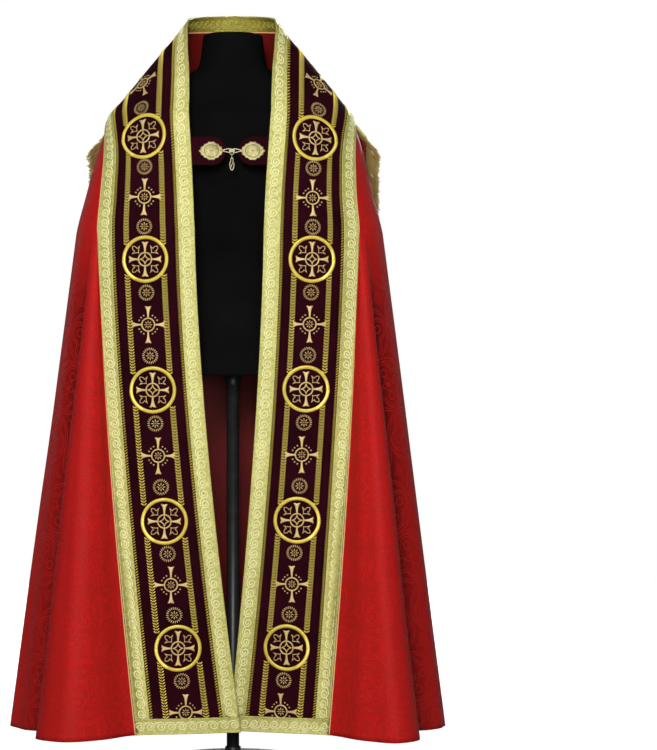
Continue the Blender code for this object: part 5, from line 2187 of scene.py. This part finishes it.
@dataclass
class DressForm:
    """The limbless form inside the cope, on its pole and foot."""

    ribs: int = 72
    rows: int = 110
    pole_radius: float = 0.016
    pole_top: float = 0.7997
    foot_radius: float = 0.165
    foot_height: float = 0.018

    def build(self) -> list[Object]:
        """Builds the torso, pole and foot."""
        return [self.torso(), self.pole(), self.foot()]

    @staticmethod
    def turned_solid(name: str, node: str, profile: Sequence[tuple[float, float]]) -> Object:
        """Builds a painted solid of circles.

        Args:
            name: The piece's name.
            node: The CAD node that it stands for.
            profile: The radius and height of each circle.

        Returns:
            The object.
        """
        board = Board()
        board.loft([lifted(on_ring(radius, steps(96)), height) for radius, height in profile])
        return Piece(name, "stand_paint", (PAINT,), [node]).make(board.mesh())

    def torso(self) -> Object:
        """Builds the torso, smooth from its closed lower end to its rounded neck cap."""
        heights, half_width, front, back = np.array(TORSO_ROWS).T
        z = np.linspace(heights[0], heights[-1], self.rows)[:, None]
        wide, fore, aft = (steady_curve(z, heights, size) for size in (half_width, front, back))
        x, y = on_ring(1.0, steps(self.ribs)).T
        rings = places(wide * x, np.where(y < 0, fore, aft) * y, z)
        cap = ((0.0012, 0.995), (0.0036, 0.96), (0.0050, 0.90), (0.0056, 0.78), (0.0058, 0.5))
        closing = [rings[-1] * (share, share, 1.0) + (0, 0, lift) for lift, share in cap]
        board = Board()
        board.loft(np.concatenate([rings, closing]))
        return Piece("form_bust", "form_cover", (JERSEY,), ["form_torso"]).make(board.mesh())

    def pole(self) -> Object:
        """Builds the pole with a collar at each end."""
        low, high, r = self.foot_height + SEAM, self.pole_top, self.pole_radius
        profile = (
            (r * 0.94, low), (r, low + 0.001), (r, low + 0.024), (r * 0.97, low + 0.025),
            (r * 0.80, low + 0.026), (r * 0.80, high - 0.020), (r * 0.97, high - 0.019),
            (r, high - 0.018), (r, high - 0.001), (r * 0.94, high),
        )
        return self.turned_solid("stand_pole_turned", "stand_pole", profile)

    def foot(self) -> Object:
        """Builds the round foot with softened edges."""
        r, h = self.foot_radius, self.foot_height
        profile = (
            (r * 0.5, 0.0), (r - 0.003, 0.0), (r - 0.0008, 0.0008), (r, 0.003), (r - 0.002, 0.010),
            (r - 0.006, 0.0145), (r - 0.014, 0.0168), (r * 0.6, h - 0.0006), (r * 0.2, h),
        )
        return self.turned_solid("stand_foot_turned", "stand_foot", profile)


# The studio.


@dataclass
class Studio:
    """The pale floor, the soft lights and the camera."""

    centre: tuple[float, float] = (0.195, 0.801)
    distance: float = 5.0
    lens: float = 117.6
    sky: tuple[float, float] = (0.03, 0.24)

    def build(self) -> None:
        """Sets the floor, the world, the lights and the camera."""
        self.floor()
        self.world()
        self.light("key", (-0.4, -4.3, 2.5), 0.95, 1.3, 162.0)
        self.light("fill", (0.5, -4.3, 1.2), 0.8, 1.4, 52.0)
        self.light("back", (0.7, 4.1, 2.6), 0.9, 1.6, 180.0)
        self.light("left", (-3.4, 3.2, 1.8), 0.8, 1.6, 15.0)
        self.light("right", (3.4, 3.2, 1.8), 0.8, 1.6, 15.0)
        self.camera()

    @staticmethod
    def stand(name: str, data: object) -> Object:
        """Puts an object with this data into the scene."""
        made = bpy.data.objects.new(name, data)
        bpy.context.scene.collection.objects.link(made)
        return made

    def floor(self) -> None:
        """A white floor, bright enough to run into the white sky."""
        bm = bmesh.new()
        below = Matrix.Translation((0.0, 0.0, -0.0005))
        bmesh.ops.create_circle(bm, cap_ends=True, segments=64, radius=4.5, matrix=below)
        mesh = finished(bm, "studio_floor")
        white = bpy.data.materials.new("studio_white")
        g = Graph(white)
        seen = g.node("ShaderNodeLightPath").outputs["Is Camera Ray"]
        away = g.node("ShaderNodeVectorMath", {0: g.where()}, operation="LENGTH")
        glow = g.blend(g.spread(away.outputs["Value"], 0.9, 2.8), 0.3, 0.8)
        g.feed(g.shader.inputs["Emission Strength"], g.times(seen, glow))
        g.finish((0.36, 0.36, 0.36), 1.0, Specular_IOR_Level=0.0, Emission_Color=(1.0, 1.0, 1.0))
        mesh.materials.append(white)
        self.stand("studio_floor", mesh)

    def world(self) -> None:
        """A white backdrop, and a sky that lights softly from above."""
        world = bpy.data.worlds.new("studio")
        g = Graph(world)
        up = g.split(g.where("Generated"))[2]
        sky = g.node("ShaderNodeMapRange", dict(enumerate((up, -0.3, 1.0, *self.sky))))
        seen = g.node("ShaderNodeLightPath").outputs["Is Camera Ray"]
        seen = g.node("ShaderNodeMix", {0: seen, 2: sky.outputs[0], 3: 1.0})
        background = g.tree.nodes["Background"]
        g.feed(background.inputs["Color"], (1.0, 1.0, 1.0))
        g.feed(background.inputs["Strength"], seen.outputs[0])
        bpy.context.scene.world = world
        bpy.context.scene.view_settings.view_transform = "Standard"

    def light(self, name: str, place: tuple, height: float, size: float, power: float) -> None:
        """Sets a square soft light, turned towards the cope's middle.

        Args:
            name: The light's name.
            place: Where it stands.
            height: The height that it points at.
            size: The length of its sides.
            power: Its power in watts.
        """
        lamp = bpy.data.lights.new(name, "AREA")
        lamp.shape, lamp.size, lamp.energy = "SQUARE", size, power
        made = self.stand(name, lamp)
        made.location = place
        towards = Vector((0.0, 0.0, height)) - Vector(place)
        made.rotation_euler = towards.to_track_quat("-Z", "Y").to_euler()

    def camera(self) -> None:
        """A long level lens at the middle of the frame."""
        camera = bpy.data.cameras.new("camera")
        camera.lens = self.lens
        camera.sensor_width = 36.0
        made = self.stand("camera", camera)
        made.location = (self.centre[0], -self.distance, self.centre[1])
        made.rotation_euler = (math.radians(90), 0.0, 0.0)
        bpy.context.scene.camera = made


MEDALLION_HEIGHTS = {
    Side.LEFT: (0.2568, 0.5101, 0.7713, 1.0305, 1.2759),
    Side.RIGHT: (0.2568, 0.5121, 0.7733, 1.0305, 1.2720),
}


def main() -> None:
    """Builds the cope, the form and the studio."""
    logging.basicConfig(level=logging.INFO, format="%(name)s %(message)s")
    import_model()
    form = CloakForm()
    trims = Trims()
    bands = {side: BandMap.build(form, side) for side in Side}
    cloak = Cloak(form)
    body = cloak.build()
    for side in Side:
        Orphrey(side, bands[side], trims, MEDALLION_HEIGHTS[side]).build()
    centre, facing, lining = NeckWork(bands[Side.LEFT], bands[Side.RIGHT], trims).build()
    Hood(form, trims).build()
    Fastening().build()
    DressForm().build()
    Studio().build()


if __name__ == "__main__":
    main()
